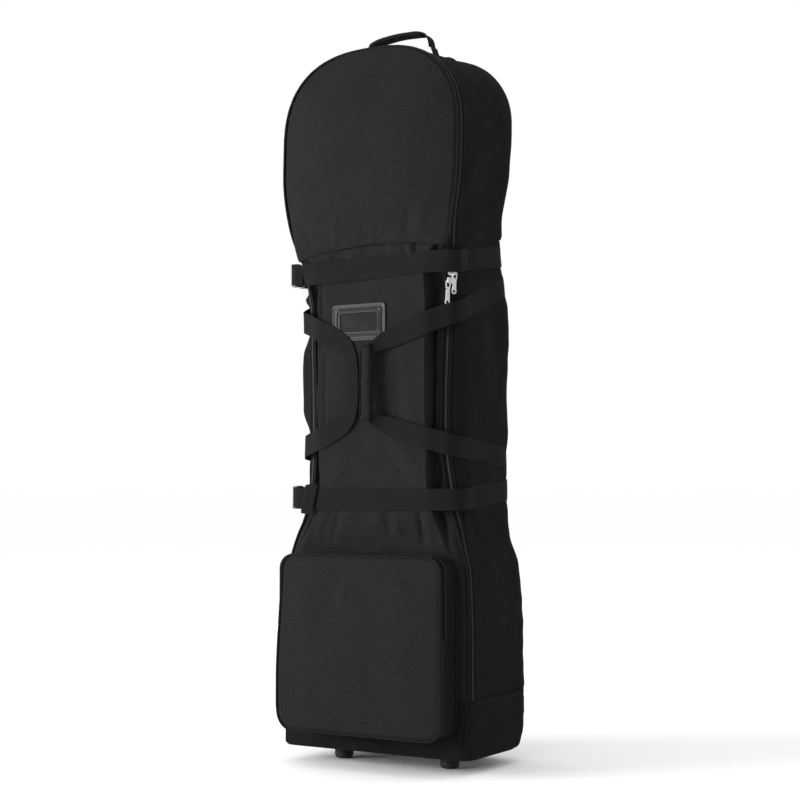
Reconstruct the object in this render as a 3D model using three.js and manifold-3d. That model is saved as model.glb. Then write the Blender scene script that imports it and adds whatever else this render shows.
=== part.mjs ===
// Wheeled soft travel case for golf clubs, standing upright.
// Millimetres, +Z up, front towards -Y, +X to the right of someone facing the front.
import * as THREE from 'three';
import { mergeVertices } from 'three/addons/utils/BufferGeometryUtils.js';
import Module from 'manifold-3d';

const wasm = await Module();
wasm.setup();

// ---------------------------------------------------------------- driving dimensions
const BODY_Y = 19.5;            // the body sits this far behind the middle of the whole footprint
const BASE_BOTTOM = 26;         // underside of the fabric tub
const TUB_TOP = 130;            // seam between the tub and the gussets
const HOOD_SEAM = 921;          // seam between the lower front and the hood
const ARCH_START = 1120;        // the outline is a superellipse above this height
const ARCH_TOP = 1287;
const ARCH_POWER = 2.55;
const GAP = 0.3;                // clearance between touching pieces
const LID_THICK = 4;            // padded front and back
const GUSSET_THICK = 4;
const TAPE_THICK = 1.5;
const TAPE_WIDTH = 9;           // one half of the zip
const TAPE_GAP = 0.8;           // between the two tapes, and between a tape and the gusset
const BACK_RADIUS = 45;         // rounded back corners
const BULGE_DEPTH = 42;         // depth over which the gusset swells outwards
const WEB_WIDTH = 38;
const WEB_THICK = 2;
const UPPER_STRAP_Z = 886;
const LOWER_STRAP_Z = 475;
const WHEEL = { x: 105, y: 84, radius: 27, width: 22, bore: 4, housing: 34 };
const FOOT = { x: 112, y: -33, radius: 17.5, height: 25 };
const POCKET = { half: 170, bottom: 66, top: 376, corner: 26, front: -169, split: -151, back: -114, wall: 3 };
const POCKET_HINGE_Z = 235;

// Cross-sections of the body. flat: half-width of the front panel's flat part; edge: half-width of
// the panel's sewn edge; setback: how far that edge lies behind the flat part; front and back: y of
// the two faces; side: half-width of the gussets; rise: how much the seams climb from front to back.
const STATIONS = [
  { z: 26, flat: 178, edge: 187, setback: 7, front: -106, side: 190, back: 130, rise: 0 },
  { z: 130, flat: 180, edge: 189, setback: 7, front: -108, side: 192.5, back: 132, rise: 0 },
  { z: 340, flat: 178, edge: 187, setback: 8, front: -110, side: 189, back: 126, rise: 12 },
  { z: 400, flat: 148, edge: 172, setback: 14, front: -114, side: 180, back: 118, rise: 15 },
  { z: 475, flat: 112, edge: 144, setback: 24, front: -113, side: 174, back: 122, rise: 19 },
  { z: 560, flat: 105, edge: 132, setback: 22, front: -115, side: 171, back: 127, rise: 22 },
  { z: 650, flat: 105, edge: 131, setback: 27, front: -121, side: 170, back: 126, rise: 26 },
  { z: 740, flat: 105, edge: 134, setback: 27, front: -121, side: 170, back: 127, rise: 30 },
  { z: 830, flat: 105, edge: 138, setback: 26, front: -120, side: 168, back: 124, rise: 34 },
  { z: 895, flat: 112, edge: 150, setback: 20, front: -124, side: 166, back: 112, rise: 36 },
  { z: 960, flat: 160, edge: 168, setback: 5, front: -128, side: 170, back: 101, rise: 35 },
  { z: 1040, flat: 176, edge: 182, setback: 4, front: -131, side: 182, back: 101, rise: 31 },
  { z: 1120, flat: 178, edge: 184, setback: 4, front: -129, side: 184, back: 114, rise: 27 },
  { z: 1290, flat: 178, edge: 184, setback: 4, front: -126, side: 184, back: 124, rise: 22 },
];

// ---------------------------------------------------------------- shared helpers
const fabric = (tone) => new THREE.MeshStandardMaterial({ color: tone, roughness: 0.85, metalness: 0 });
const plastic = () => new THREE.MeshStandardMaterial({ color: 0x0c0c0d, roughness: 0.35, metalness: 0 });
const metal = () => new THREE.MeshStandardMaterial({ color: 0xd8d8da, roughness: 0.2, metalness: 1 });
const BODY_TONE = 0x1c1c1e;
const WEB_TONE = 0x141415;

const root = new THREE.Group();
root.position.y = BODY_Y;

// Adds a named mesh to the case.
function piece(name, geometry, material) {
  const mesh = new THREE.Mesh(closed(geometry), material);
  mesh.name = name;
  root.add(mesh);
  return mesh;
}

// Merges shared vertices, drops collapsed triangles and turns the faces outwards.
function closed(geometry) {
  const bare = geometry.clone();
  bare.deleteAttribute('normal');
  bare.deleteAttribute('uv');
  const merged = mergeVertices(bare, 1e-3);
  const index = merged.index.array;
  const p = merged.attributes.position;
  const a = new THREE.Vector3();
  const b = new THREE.Vector3();
  const c = new THREE.Vector3();
  let faces = [];
  let volume = 0;
  for (let i = 0; i < index.length; i += 3) {
    const [u, v, w] = [index[i], index[i + 1], index[i + 2]];
    if (u === v || v === w || u === w) continue;
    faces.push([u, v, w]);
    a.fromBufferAttribute(p, u);
    b.fromBufferAttribute(p, v);
    c.fromBufferAttribute(p, w);
    volume += a.dot(b.cross(c));
  }
  if (volume < 0) faces = faces.map(([u, v, w]) => [u, w, v]);
  merged.setIndex(faces.flat());
  return merged;
}

// Moves every vertex of a geometry through a function of its position.
function warp(geometry, move) {
  const p = geometry.attributes.position;
  const v = new THREE.Vector3();
  for (let i = 0; i < p.count; i += 1) {
    v.fromBufferAttribute(p, i);
    const q = move(v, i);
    p.setXYZ(i, q.x, q.y, q.z);
  }
  return closed(geometry);
}

// A slab of nu x nv cells: place(u, v, w) gives a point for u, v and w between 0 and 1.
function slab(nu, nv, place) {
  const box = new THREE.BoxGeometry(1, 1, 1, nu, nv, 1);
  return warp(box, (v) => place(v.x + 0.5, v.y + 0.5, v.z + 0.5));
}

function toSolid(geometry) {
  const g = closed(geometry);
  const vertProperties = new Float32Array(g.attributes.position.array);
  const triVerts = new Uint32Array(g.index.array);
  return new wasm.Manifold(new wasm.Mesh({ numProp: 3, vertProperties, triVerts }));
}

function toGeometry(solid) {
  const mesh = solid.getMesh();
  const geometry = new THREE.BufferGeometry();
  geometry.setAttribute('position', new THREE.BufferAttribute(new Float32Array(mesh.vertProperties), 3));
  geometry.setIndex([...mesh.triVerts]);
  return closed(geometry);
}

const cut = (geometry, ...tools) =>
  toGeometry(tools.reduce((solid, tool) => solid.subtract(toSolid(tool)), toSolid(geometry)));
const join = (geometry, ...others) =>
  toGeometry(others.reduce((solid, other) => solid.add(toSolid(other)), toSolid(geometry)));

function box(x0, x1, y0, y1, z0, z1) {
  return new THREE.BoxGeometry(x1 - x0, y1 - y0, z1 - z0)
    .translate((x0 + x1) / 2, (y0 + y1) / 2, (z0 + z1) / 2);
}

// A cylinder along X.
function barX(x0, x1, y, z, radius, sides = 24) {
  return new THREE.CylinderGeometry(radius, radius, x1 - x0, sides)
    .rotateZ(Math.PI / 2)
    .translate((x0 + x1) / 2, y, z);
}

function rounded(half, bottom, top, corner) {
  const s = new THREE.Shape();
  s.moveTo(-half + corner, bottom);
  s.lineTo(half - corner, bottom);
  s.absarc(half - corner, bottom + corner, corner, -Math.PI / 2, 0);
  s.lineTo(half, top - corner);
  s.absarc(half - corner, top - corner, corner, 0, Math.PI / 2);
  s.lineTo(-half + corner, top);
  s.absarc(-half + corner, top - corner, corner, Math.PI / 2, Math.PI);
  s.lineTo(-half, bottom + corner);
  s.absarc(-half + corner, bottom + corner, corner, Math.PI, Math.PI * 1.5);
  return s;
}

// Extrudes a shape drawn in X-Z along Y from y0 to y1.
function slabY(shape, y0, y1, curveSegments = 5) {
  return new THREE.ExtrudeGeometry(shape, { depth: y1 - y0, bevelEnabled: false, curveSegments })
    .rotateX(Math.PI / 2)
    .translate(0, y1, 0);
}

function rod(points, radius, sides = 6, steps = points.length * 2) {
  const ring = new THREE.Shape();
  for (let i = 0; i < sides; i += 1) {
    const angle = (i / sides) * Math.PI * 2;
    const method = i === 0 ? 'moveTo' : 'lineTo';
    ring[method](radius * Math.cos(angle), radius * Math.sin(angle));
  }
  const extrudePath = new THREE.CatmullRomCurve3(points);
  return closed(new THREE.ExtrudeGeometry(ring, { steps, extrudePath }));
}

// ---------------------------------------------------------------- the body's surface
// Smooth interpolation of the cross-section table.
function section(z) {
  const last = STATIONS.length - 1;
  const h = Math.min(Math.max(z, STATIONS[0].z), STATIONS[last].z);
  let i = 0;
  while (i < last - 1 && h > STATIONS[i + 1].z) i += 1;
  const here = STATIONS[i];
  const next = STATIONS[i + 1];
  const before = STATIONS[Math.max(i - 1, 0)];
  const after = STATIONS[Math.min(i + 2, last)];
  const span = next.z - here.z;
  const t = (h - here.z) / span;
  const out = {};
  for (const key of ['flat', 'edge', 'setback', 'front', 'side', 'back', 'rise']) {
    const slopeA = (next[key] - before[key]) / Math.max(next.z - before.z, 1) * span;
    const slopeB = (after[key] - here[key]) / Math.max(after.z - here.z, 1) * span;
    const t2 = t * t;
    const t3 = t2 * t;
    out[key] = here[key] * (2 * t3 - 3 * t2 + 1) + slopeA * (t3 - 2 * t2 + t)
      + next[key] * (3 * t2 - 2 * t3) + slopeB * (t3 - t2);
  }
  return out;
}

// A station on the lid's sewn edge: the point, the outward normal in X-Z, and its section.
function sideStation(z, sign) {
  const s = section(z);
  return {
    x: sign * s.edge, y: s.front + s.setback, z, nx: sign, nz: 0,
    bulge: s.side - s.edge, back: s.back, rise: s.rise,
  };
}

function archStation(angle) {
  const s = section(ARCH_START);
  const [c, d] = [Math.cos(angle), Math.sin(angle)];
  const e = 2 / ARCH_POWER;
  const rise = ARCH_TOP - ARCH_START;
  const x = s.edge * Math.sign(c) * Math.abs(c) ** e;
  const z = ARCH_START + rise * Math.abs(d) ** e;
  const nx = Math.sign(c) * Math.abs(c) ** (2 - e) / s.edge;
  const nz = Math.abs(d) ** (2 - e) / rise;
  const length = Math.hypot(nx, nz);
  const here = section(z);
  return {
    x, y: here.front + here.setback, z, nx: nx / length, nz: nz / length,
    bulge: 0, back: here.back, rise: here.rise,
  };
}

const LOWER_HEIGHTS = [TUB_TOP, 235, 340, 385, 430, 475, 520, 560, 650, 740, 800, 850, 895, HOOD_SEAM - GAP];
const HOOD_HEIGHTS = [HOOD_SEAM, 945, 975, 1010, 1060];
const ARCH_ANGLES = [...Array(15).keys()].map((i) => (i / 14) * Math.PI);

const lowerSide = (sign) => LOWER_HEIGHTS.map((z) => sideStation(z, sign));
const hoodPath = () => [
  ...HOOD_HEIGHTS.map((z) => sideStation(z, 1)),
  ...ARCH_ANGLES.map(archStation),
  ...[...HOOD_HEIGHTS].reverse().map((z) => sideStation(z, -1)),
];

// The gusset's section at a station: sewn edge, swelling side, rounded back corner.
function gussetLine(st) {
  const depth = st.back - st.y;
  const line = [];
  for (let i = 0; i <= 8; i += 1) {
    const q = (i / 8) * Math.PI / 2;
    line.push([st.bulge * Math.sin(q), BULGE_DEPTH * (1 - Math.cos(q))]);
  }
  for (let i = 0; i <= 5; i += 1) {
    const q = (i / 5) * Math.PI / 2;
    line.push([st.bulge - BACK_RADIUS * (1 - Math.cos(q)), depth - BACK_RADIUS * (1 - Math.sin(q))]);
  }
  return line;
}

function lineLength(line) {
  let total = 0;
  for (let i = 1; i < line.length; i += 1) {
    total += Math.hypot(line[i][0] - line[i - 1][0], line[i][1] - line[i - 1][1]);
  }
  return total;
}

// The point at a distance along a line, moved towards the inside of the case by inset.
function pointOn(line, distance, inset) {
  let left = distance;
  for (let i = 1; i < line.length; i += 1) {
    const dn = line[i][0] - line[i - 1][0];
    const dy = line[i][1] - line[i - 1][1];
    const step = Math.hypot(dn, dy);
    if (left <= step || i === line.length - 1) {
      const t = left / step;
      return [line[i - 1][0] + dn * t - (dy / step) * inset, line[i - 1][1] + dy * t + (dn / step) * inset];
    }
    left -= step;
  }
  return line[0];
}

// A point of the gusset surface: distance back from the sewn edge, and depth below the surface.
function gussetPoint(st, distance, inset = 0) {
  const [n, y] = pointOn(gussetLine(st), distance, inset);
  const lift = st.rise * (y / (st.back - st.y));
  return new THREE.Vector3(st.x + st.nx * n, st.y + y, st.z + st.nz * n + lift);
}

// A strip of the gusset between two distances from the sewn edge (null: to its far end).
function gussetStrip(path, from, to, cells, inset, thick) {
  return slab(path.length - 1, cells, (u, v, w) => {
    const st = path[Math.round(u * (path.length - 1))];
    const end = to === null ? lineLength(gussetLine(st)) : to;
    return gussetPoint(st, from + (end - from) * v, inset + thick * w);
  });
}

// ---------------------------------------------------------------- front and back panels
// A panel of rows at the given heights; across(section, u) gives [x, y, lift] on its outer face.
function panel(heights, columns, thick, across) {
  return slab(heights.length - 1, columns, (u, v, w) => {
    const z = heights[Math.round(u * (heights.length - 1))];
    const [x, y, lift] = across(section(z), v * 2 - 1);
    return new THREE.Vector3(x, y + thick * w, z + lift);
  });
}

const PANEL_INSET = 2;         // the panels stop this far short of the sewn edge
const BACK_INSET = 1;

// The front panel is flat in the middle and slopes back to its sewn edges.
function frontAcross(s, u) {
  const t = Math.abs(u);
  const reach = s.edge - PANEL_INSET;
  if (t <= 0.5) return [s.flat * u * 2, s.front, 0];
  const k = (t - 0.5) * 2;
  return [Math.sign(u) * (s.flat + (reach - s.flat) * k), s.front + s.setback * k, 0];
}

function backAcross(s, u) {
  return [u * (s.side - BACK_RADIUS - BACK_INSET), s.back - LID_THICK, s.rise];
}

// An arched panel above a height, bounded by the sewn edge moved inwards.
function archedPanel(bottom, inset, thick, depthAt, back) {
  const right = hoodPath().filter((st) => st.z >= bottom);
  const shape = new THREE.Shape();
  right.forEach((st, i) => {
    const n = back ? st.bulge - inset : -inset;
    const x = st.x + st.nx * n;
    const z = st.z + st.nz * n + (back ? st.rise : 0);
    if (i === 0) shape.moveTo(x, z);
    else shape.lineTo(x, z);
  });
  return warp(slabY(shape, 0, thick), (v) => new THREE.Vector3(v.x, v.y + depthAt(v.z), v.z));
}

piece('front_panel', panel(LOWER_HEIGHTS, 8, LID_THICK, frontAcross), fabric(BODY_TONE));
piece('back_panel', panel(LOWER_HEIGHTS, 2, LID_THICK, backAcross), fabric(BODY_TONE));
const hoodFront = (z) => section(z).front + 2;
const hoodRear = (z) => section(z - section(z).rise).back - LID_THICK;
piece('hood_panel', archedPanel(HOOD_SEAM, PANEL_INSET, LID_THICK, hoodFront, false), fabric(BODY_TONE));
const rearInset = BACK_RADIUS + BACK_INSET;
piece('hood_back', archedPanel(HOOD_SEAM, rearInset, LID_THICK, hoodRear, true), fabric(BODY_TONE));

// ---------------------------------------------------------------- gussets and zip tapes
const REAR_TAPE_START = TAPE_WIDTH + TAPE_GAP;
const REAR_TAPE_END = REAR_TAPE_START + TAPE_WIDTH;
const GUSSET_START = REAR_TAPE_END + TAPE_GAP;
for (const [side, sign] of [['right', 1], ['left', -1]]) {
  const path = lowerSide(sign);
  piece(`gusset_${side}`, gussetStrip(path, GUSSET_START, null, 7, 0, GUSSET_THICK), fabric(BODY_TONE));
  piece(`zip_tape_front_${side}`, gussetStrip(path, 0, TAPE_WIDTH, 1, 0, TAPE_THICK), fabric(BODY_TONE));
}
piece('gusset_hood', gussetStrip(hoodPath(), GUSSET_START, null, 6, 0, GUSSET_THICK), fabric(BODY_TONE));
piece('zip_tape_hood_front', gussetStrip(hoodPath(), 0, TAPE_WIDTH, 1, 0, TAPE_THICK), fabric(BODY_TONE));
const wholePath = [...lowerSide(1), ...hoodPath(), ...lowerSide(-1).reverse()];
const rearHalf = gussetStrip(wholePath, REAR_TAPE_START, REAR_TAPE_END, 1, 0, TAPE_THICK);
piece('zip_tape_rear', rearHalf, fabric(BODY_TONE));

// ---------------------------------------------------------------- base tub, board, feet and wheels
const BOTTOM_RADIUS = 45;       // rounded back lower corner
const TUB_THICK = 4;
const TUB_LEVELS = [TUB_TOP - GAP, 100, 72, 57, 44];

// One level of the tub as a closed ring of points, moved inwards by inset.
function tubRing(z, inset) {
  const s = section(z);
  const low = Math.max(BASE_BOTTOM + BOTTOM_RADIUS - z, 0);
  const reach = Math.sqrt(Math.max((BOTTOM_RADIUS - inset) ** 2 - low ** 2, 0));
  const back = s.back - BOTTOM_RADIUS + reach;
  const front = s.front + inset;
  const side = s.side - inset;
  const corner = BACK_RADIUS - inset;
  const half = [[0, front], [(s.flat - inset) / 2, front], [s.flat - inset, front]];
  half.push([s.edge - inset, front + s.setback], [side, front + s.setback + 20]);
  half.push([side, 0], [side, back - corner]);
  for (let i = 1; i <= 4; i += 1) {
    const q = (i / 4) * Math.PI / 2;
    half.push([side - corner * (1 - Math.cos(q)), back - corner * (1 - Math.sin(q))]);
  }
  half.push([0, back]);
  const mirrored = half.slice(1, -1).reverse().map(([x, y]) => [-x, y]);
  return [...half, ...mirrored];
}

function tubGeometry() {
  const rising = [...TUB_LEVELS].reverse().map((z) => [z, 0]);
  const outside = [[BASE_BOTTOM, 3], [BASE_BOTTOM + 4, 0], ...rising];
  const floor = BASE_BOTTOM + TUB_THICK;
  const falling = [...TUB_LEVELS.slice(0, 3), 50, 36].map((z) => [z, TUB_THICK]);
  const inside = [...falling, [floor, TUB_THICK + 2]];
  const levels = [...outside, ...inside];
  const rings = levels.map(([z, inset]) => tubRing(z, inset));
  const count = rings[0].length;
  const stem = Array.from({ length: levels.length + 2 }, (_, i) => new THREE.Vector2(1, i));
  const lathe = new THREE.LatheGeometry(stem, count);
  return warp(lathe, (v, i) => {
    const level = (i % (levels.length + 2)) - 1;
    const slot = Math.floor(i / (levels.length + 2)) % count;
    if (level < 0) return new THREE.Vector3(0, 0, BASE_BOTTOM);
    if (level >= levels.length) return new THREE.Vector3(0, 0, floor);
    const [x, y] = rings[level][slot];
    return new THREE.Vector3(x, y, levels[level][0]);
  });
}

// The arch-shaped body of a wheel housing about the wheel's axle: a half-round top on a straight skirt.
function archBlock(x, halfWidth, radius, bottom) {
  const s = new THREE.Shape();
  s.moveTo(-radius, bottom - WHEEL.radius);
  s.lineTo(radius, bottom - WHEEL.radius);
  s.absarc(0, 0, radius, 0, Math.PI, false);
  return new THREE.ExtrudeGeometry(s, { depth: 2 * halfWidth, bevelEnabled: false, curveSegments: 12 })
    .rotateX(Math.PI / 2)
    .rotateZ(Math.PI / 2)
    .translate(x - halfWidth, WHEEL.y, WHEEL.radius);
}

const HOUSING_HALF = 19;
const HOUSING_WALL = 3;
const wells = [-1, 1].map((sign) =>
  archBlock(sign * WHEEL.x, HOUSING_HALF + GAP, WHEEL.housing + GAP, -40));
piece('base_tub', cut(tubGeometry(), ...wells), fabric(BODY_TONE));
const board = box(-160, 160, -90, 66, BASE_BOTTOM + TUB_THICK + 0.6, BASE_BOTTOM + TUB_THICK + 3.6);
piece('base_board', cut(board, ...wells), plastic());

// A ring about the X axis through the wheel centre; profile is [offset along X, radius] points.
function turned(profile, x, segments = 28) {
  const points = [...profile, profile[0]].map(([offset, radius]) => new THREE.Vector2(radius, offset));
  return closed(new THREE.LatheGeometry(points, segments)
    .rotateZ(-Math.PI / 2)
    .translate(x, WHEEL.y, WHEEL.radius));
}

for (const [side, sign] of [['right', 1], ['left', -1]]) {
  const x = sign * WHEEL.x;
  const half = WHEEL.width / 2;
  const r = WHEEL.radius;
  const shell = archBlock(x, HOUSING_HALF, WHEEL.housing, 18);
  const hollow = archBlock(x, HOUSING_HALF - 4, WHEEL.housing - HOUSING_WALL, -20);
  const axleHole = barX(x - 30, x + 30, WHEEL.y, r, WHEEL.bore + GAP);
  piece(`housing_${side}`, cut(shell, hollow, axleHole), plastic());
  const axleHalf = HOUSING_HALF - 0.5;
  piece(`axle_${side}`, barX(x - axleHalf, x + axleHalf, WHEEL.y, r, WHEEL.bore), metal());
  const tyre = [[-half, 17.5], [-half, r - 5], [-half + 5, r - 0.8], [0, r],
    [half - 5, r - 0.8], [half, r - 5], [half, 17.5]];
  piece(`tyre_${side}`, turned(tyre, x), plastic());
  const hub = [[-half - 1.5, 11.3], [-half - 1.5, 15], [-half, 17.1], [half, 17.1], [half + 1.5, 15],
    [half + 1.5, 11.3], [half - 6, 11.3], [half - 6, 8], [-half + 6, 8], [-half + 6, 11.3]];
  piece(`hub_${side}`, turned(hub, x), plastic());
  const [near, far] = [WHEEL.bore + 0.35, 7.6];
  const bearing = [[-half - 1, near], [-half - 1, 11], [-half + 5.6, 11], [-half + 5.6, far],
    [half - 5.6, far], [half - 5.6, 11], [half + 1, 11], [half + 1, near]];
  piece(`bearing_${side}`, turned(bearing, x, 24), metal());
  const f = FOOT.radius;
  const footLine = [[0, 0], [f - 6, 0], [f - 1.5, 4], [f, 10], [f, FOOT.height], [0, FOOT.height]];
  const foot = new THREE.LatheGeometry(footLine.map(([a, b]) => new THREE.Vector2(a, b)), 20);
  piece(`foot_${side}`, closed(foot.rotateX(Math.PI / 2).translate(sign * FOOT.x, FOOT.y, 0)), plastic());
}

// ---------------------------------------------------------------- piping
const PIPING = 1.9;
const pipingPoint = (st) => new THREE.Vector3(st.x + st.nx * 1.2, st.y - PIPING - 0.5, st.z + st.nz * 1.2);
piece('piping_hood', rod(hoodPath().map(pipingPoint), PIPING, 6, 44), plastic());
for (const [side, sign] of [['right', 1], ['left', -1]]) {
  piece(`piping_${side}`, rod(lowerSide(sign).map(pipingPoint), PIPING, 6, 24), plastic());
}

// ---------------------------------------------------------------- front pocket
const P = POCKET;
const POCKET_GAP = 0.6;
const pocketRing = (grow, wall) => {
  const outer = rounded(P.half + grow, P.bottom - grow, P.top + grow, P.corner + grow);
  const inner = grow - wall;
  outer.holes.push(rounded(P.half + inner, P.bottom - inner, P.top + inner, P.corner + inner));
  return outer;
};
const FOLD_GAP = 0.2;           // each half of the pocket stops this far from the fold
const between = (geometry, low, high) =>
  toGeometry(toSolid(geometry).intersect(toSolid(box(-2 * P.half, 2 * P.half, 2 * P.front, 0, low, high))));
const above = (geometry) => between(geometry, POCKET_HINGE_Z + FOLD_GAP, 2 * P.top);
const below = (geometry) => between(geometry, 0, POCKET_HINGE_Z - FOLD_GAP);

// The rear wall of the pocket reaches back to the front panel.
const pocketRear = warp(slabY(pocketRing(0, P.wall), P.split + POCKET_GAP / 2, P.back), (v) =>
  new THREE.Vector3(v.x, v.y > P.back - 1 ? section(v.z).front - 0.5 : v.y, v.z));
const rearTape = above(slabY(pocketRing(1.5, 2.4), P.split + POCKET_GAP / 2, P.split + 5));
piece('pocket_rear', join(pocketRear, rearTape), fabric(BODY_TONE));
const tray = cut(
  slabY(rounded(P.half, P.bottom, P.top, P.corner), P.front, P.split - POCKET_GAP / 2),
  slabY(rounded(P.half - P.wall, P.bottom + P.wall, P.top - P.wall, P.corner - P.wall), P.front + P.wall, 0),
);
piece('pocket_front', below(tray), fabric(BODY_TONE));
const flapTape = above(slabY(pocketRing(1.5, 2.4), P.split - 5, P.split - POCKET_GAP / 2));
piece('pocket_flap', join(above(tray), flapTape), fabric(BODY_TONE));

// The pocket's outline as points from one end of the hinge line to the other.
function pocketEdge(top, y, grow) {
  const h = P.half + grow;
  const c = P.corner + grow;
  const end = top ? P.top + grow : P.bottom - grow;
  const way = top ? 1 : -1;
  const points = [[h, POCKET_HINGE_Z + way * 5.5], [h, (POCKET_HINGE_Z + end) / 2]];
  for (let i = 0; i <= 4; i += 1) {
    const q = (i / 4) * Math.PI / 2;
    points.push([h - c * (1 - Math.cos(q)), end - way * c * (1 - Math.sin(q))]);
  }
  const mirrored = [...points].reverse().map(([x, z]) => [-x, z]);
  return [...points, [0, end], ...mirrored].map(([x, z]) => new THREE.Vector3(x, y, z));
}
piece('pocket_piping_flap', rod(pocketEdge(true, P.front - 1.9, 0.9), 1.7, 6, 34), plastic());
piece('pocket_piping_front', rod(pocketEdge(false, P.front - 1.9, 0.9), 1.7, 6, 34), plastic());

// ---------------------------------------------------------------- webbing
const COIL_AT = TAPE_WIDTH + TAPE_GAP / 2;
const STRAP_CLEAR = 3;
const ZIP_CLEAR = 15;           // webbing bridges the zip at this height so the sliders pass under it
const ZIP_SPAN = 6;             // and holds that height this far to each side of the coil

// The taut line that webbing takes around half of the body at a height: front centre to back centre.
function hullLine(z) {
  const s = section(z);
  const st = sideStation(z, 1);
  const near = gussetPoint(st, COIL_AT - ZIP_SPAN, -ZIP_CLEAR);
  const start = [s.flat + 1.5, s.front - STRAP_CLEAR];
  const line = [[0, start[1]], start, [Math.max(near.x, start[0] + 1), Math.min(near.y, st.y - 6.5)]];
  for (const [distance, clear] of [[COIL_AT + ZIP_SPAN, ZIP_CLEAR], [28, 7], [38, 3.5]]) {
    const p = gussetPoint(st, distance, -clear);
    line.push([p.x, p.y]);
  }
  const side = s.side + STRAP_CLEAR;
  const corner = BACK_RADIUS + STRAP_CLEAR;
  line.push([side, st.y + BULGE_DEPTH + 6]);
  for (let i = 0; i <= 4; i += 1) {
    const q = (i / 4) * Math.PI / 2;
    line.push([side - corner * (1 - Math.cos(q)), s.back + STRAP_CLEAR - corner * (1 - Math.sin(q))]);
  }
  line.push([0, s.back + STRAP_CLEAR]);
  return line;
}

// The point at a signed distance along that line: positive round the right side, negative the left.
// Heights are seam heights: they climb towards the back as the seams do.
function hullPoint(z, distance, lift) {
  const line = hullLine(z);
  const total = lineLength(line);
  const far = Math.abs(distance) > total;
  const [x, y] = pointOn(line, far ? 2 * total - Math.abs(distance) : Math.abs(distance), -lift);
  const s = section(z);
  const climb = s.rise * Math.max((y - s.front - s.setback) / (s.back - s.front - s.setback), 0);
  return new THREE.Vector3((distance < 0) === far ? x : -x, y, z + climb);
}

// Webbing along a path of { d, z, lift } points laid on the body: distance, height and clearance.
// A point that also has x and y is free of the body, and its webbing faces sideways.
function webbing(path, width = WEB_WIDTH) {
  const last = path.length - 1;
  return slab(last, 1, (u, v, w) => {
    const i = Math.round(u * last);
    const here = path[i];
    const away = (v - 0.5) * width;
    if (here.x !== undefined) {
      return new THREE.Vector3(here.x - WEB_THICK * (w - 0.5), here.y, here.z + away);
    }
    const a = path[Math.max(i - 1, 0)];
    const b = path[Math.min(i + 1, last)];
    const length = Math.hypot(b.d - a.d, b.z - a.z);
    const distance = here.d - ((b.z - a.z) / length) * away;
    const z = here.z + ((b.d - a.d) / length) * away;
    return hullPoint(z, distance, here.lift + WEB_THICK * w);
  });
}

// Side-release buckles on the left side, and the straps that run through them.
const BUCKLE = { height: 48, female: 38, male: 24, thick: 15, travel: 25 };
const END_STEP = 3;             // the strap lies this far under the end that the prong part carries
const END_LENGTH = 42;
const QUARTER = Math.PI / 2;
const FRONT_STEPS = [-119, -107, -95, 0, 95, 107, 119, 131, 143, 155, 172, 190, 215];
const STRAPS = [
  { name: 'upper', z: UPPER_STRAP_Z, x: -175, y: -113 },
  { name: 'lower', z: LOWER_STRAP_Z, x: -181, y: -97 },
];
for (const strap of STRAPS) {
  const level = strap.z + 2;
  const total = lineLength(hullLine(strap.z));
  const bend = (BACK_RADIUS + STRAP_CLEAR) * QUARTER;
  const corner = total - (section(strap.z).side - BACK_RADIUS) - bend;
  const joint = strap.y + BUCKLE.female;
  const maleEnd = joint + BUCKLE.male;
  const at = (d) => ({ d, z: strap.z, lift: 0 });
  const free = (d, y, step = 0) => ({ d, z: level, x: strap.x + step, y });
  const turn = [0, 0.33, 0.67, 1].map((t) => corner + t * bend);
  const path = [
    free(-200, strap.y + 9), free(-185, strap.y - 2), at(-150),
    ...FRONT_STEPS.map(at),
    ...turn.map(at), at(total), ...[...turn].reverse().map((d) => at(2 * total - d)),
    free(2 * total - 260, 12, END_STEP), free(2 * total - 220, maleEnd + BUCKLE.travel + 2, END_STEP),
  ];
  piece(`strap_${strap.name}`, webbing(path), fabric(WEB_TONE));

  const z0 = level - BUCKLE.height / 2;
  const z1 = level + BUCKLE.height / 2;
  const h = BUCKLE.thick / 2;
  const socket = box(strap.x - 4, strap.x + 4, strap.y + 12, joint + 1, z0 + 4, z1 - 4);
  const slot = box(strap.x - 2.5, strap.x + 2.5, strap.y - 1, strap.y + 13, z0 + 4, z1 - 4);
  const female = box(strap.x - h, strap.x + h, strap.y, joint, z0, z1);
  piece(`buckle_${strap.name}_female`, cut(female, socket, slot), plastic());
  const male = join(
    box(strap.x - 4.5, strap.x + 4.5, joint + 0.4, maleEnd, z0 + 1, z1 - 1),
    box(strap.x - 3.3, strap.x + 3.3, joint - 22, joint + 2, z0 + 5, z0 + 13),
    box(strap.x - 3.3, strap.x + 3.3, joint - 22, joint + 2, z1 - 13, z1 - 5),
  );
  const channel = box(strap.x - 2, strap.x + 2, joint + 8, maleEnd + 1, level - 20, level + 20);
  piece(`buckle_${strap.name}_male`, cut(male, channel), plastic());
  const half = WEB_WIDTH / 2;
  const end = box(strap.x - 1, strap.x + 1, maleEnd - 14, maleEnd + END_LENGTH, level - half, level + half);
  piece(`strap_${strap.name}_end`, end, fabric(WEB_TONE));
}
const TAIL = { x: -112, z: 500, clear: 6.4, width: 26, length: 52, lean: 8, turn: 8, skew: 6 };
const tailTop = section(LOWER_STRAP_Z).front - TAIL.clear;
piece('strap_lower_tail', slab(2, 1, (u, v, w) => new THREE.Vector3(
  TAIL.x - TAIL.width * v - TAIL.lean * u,
  tailTop - WEB_THICK * w + TAIL.turn * v,
  TAIL.z - TAIL.length * u - TAIL.skew * v,
)), fabric(WEB_TONE));

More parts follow.
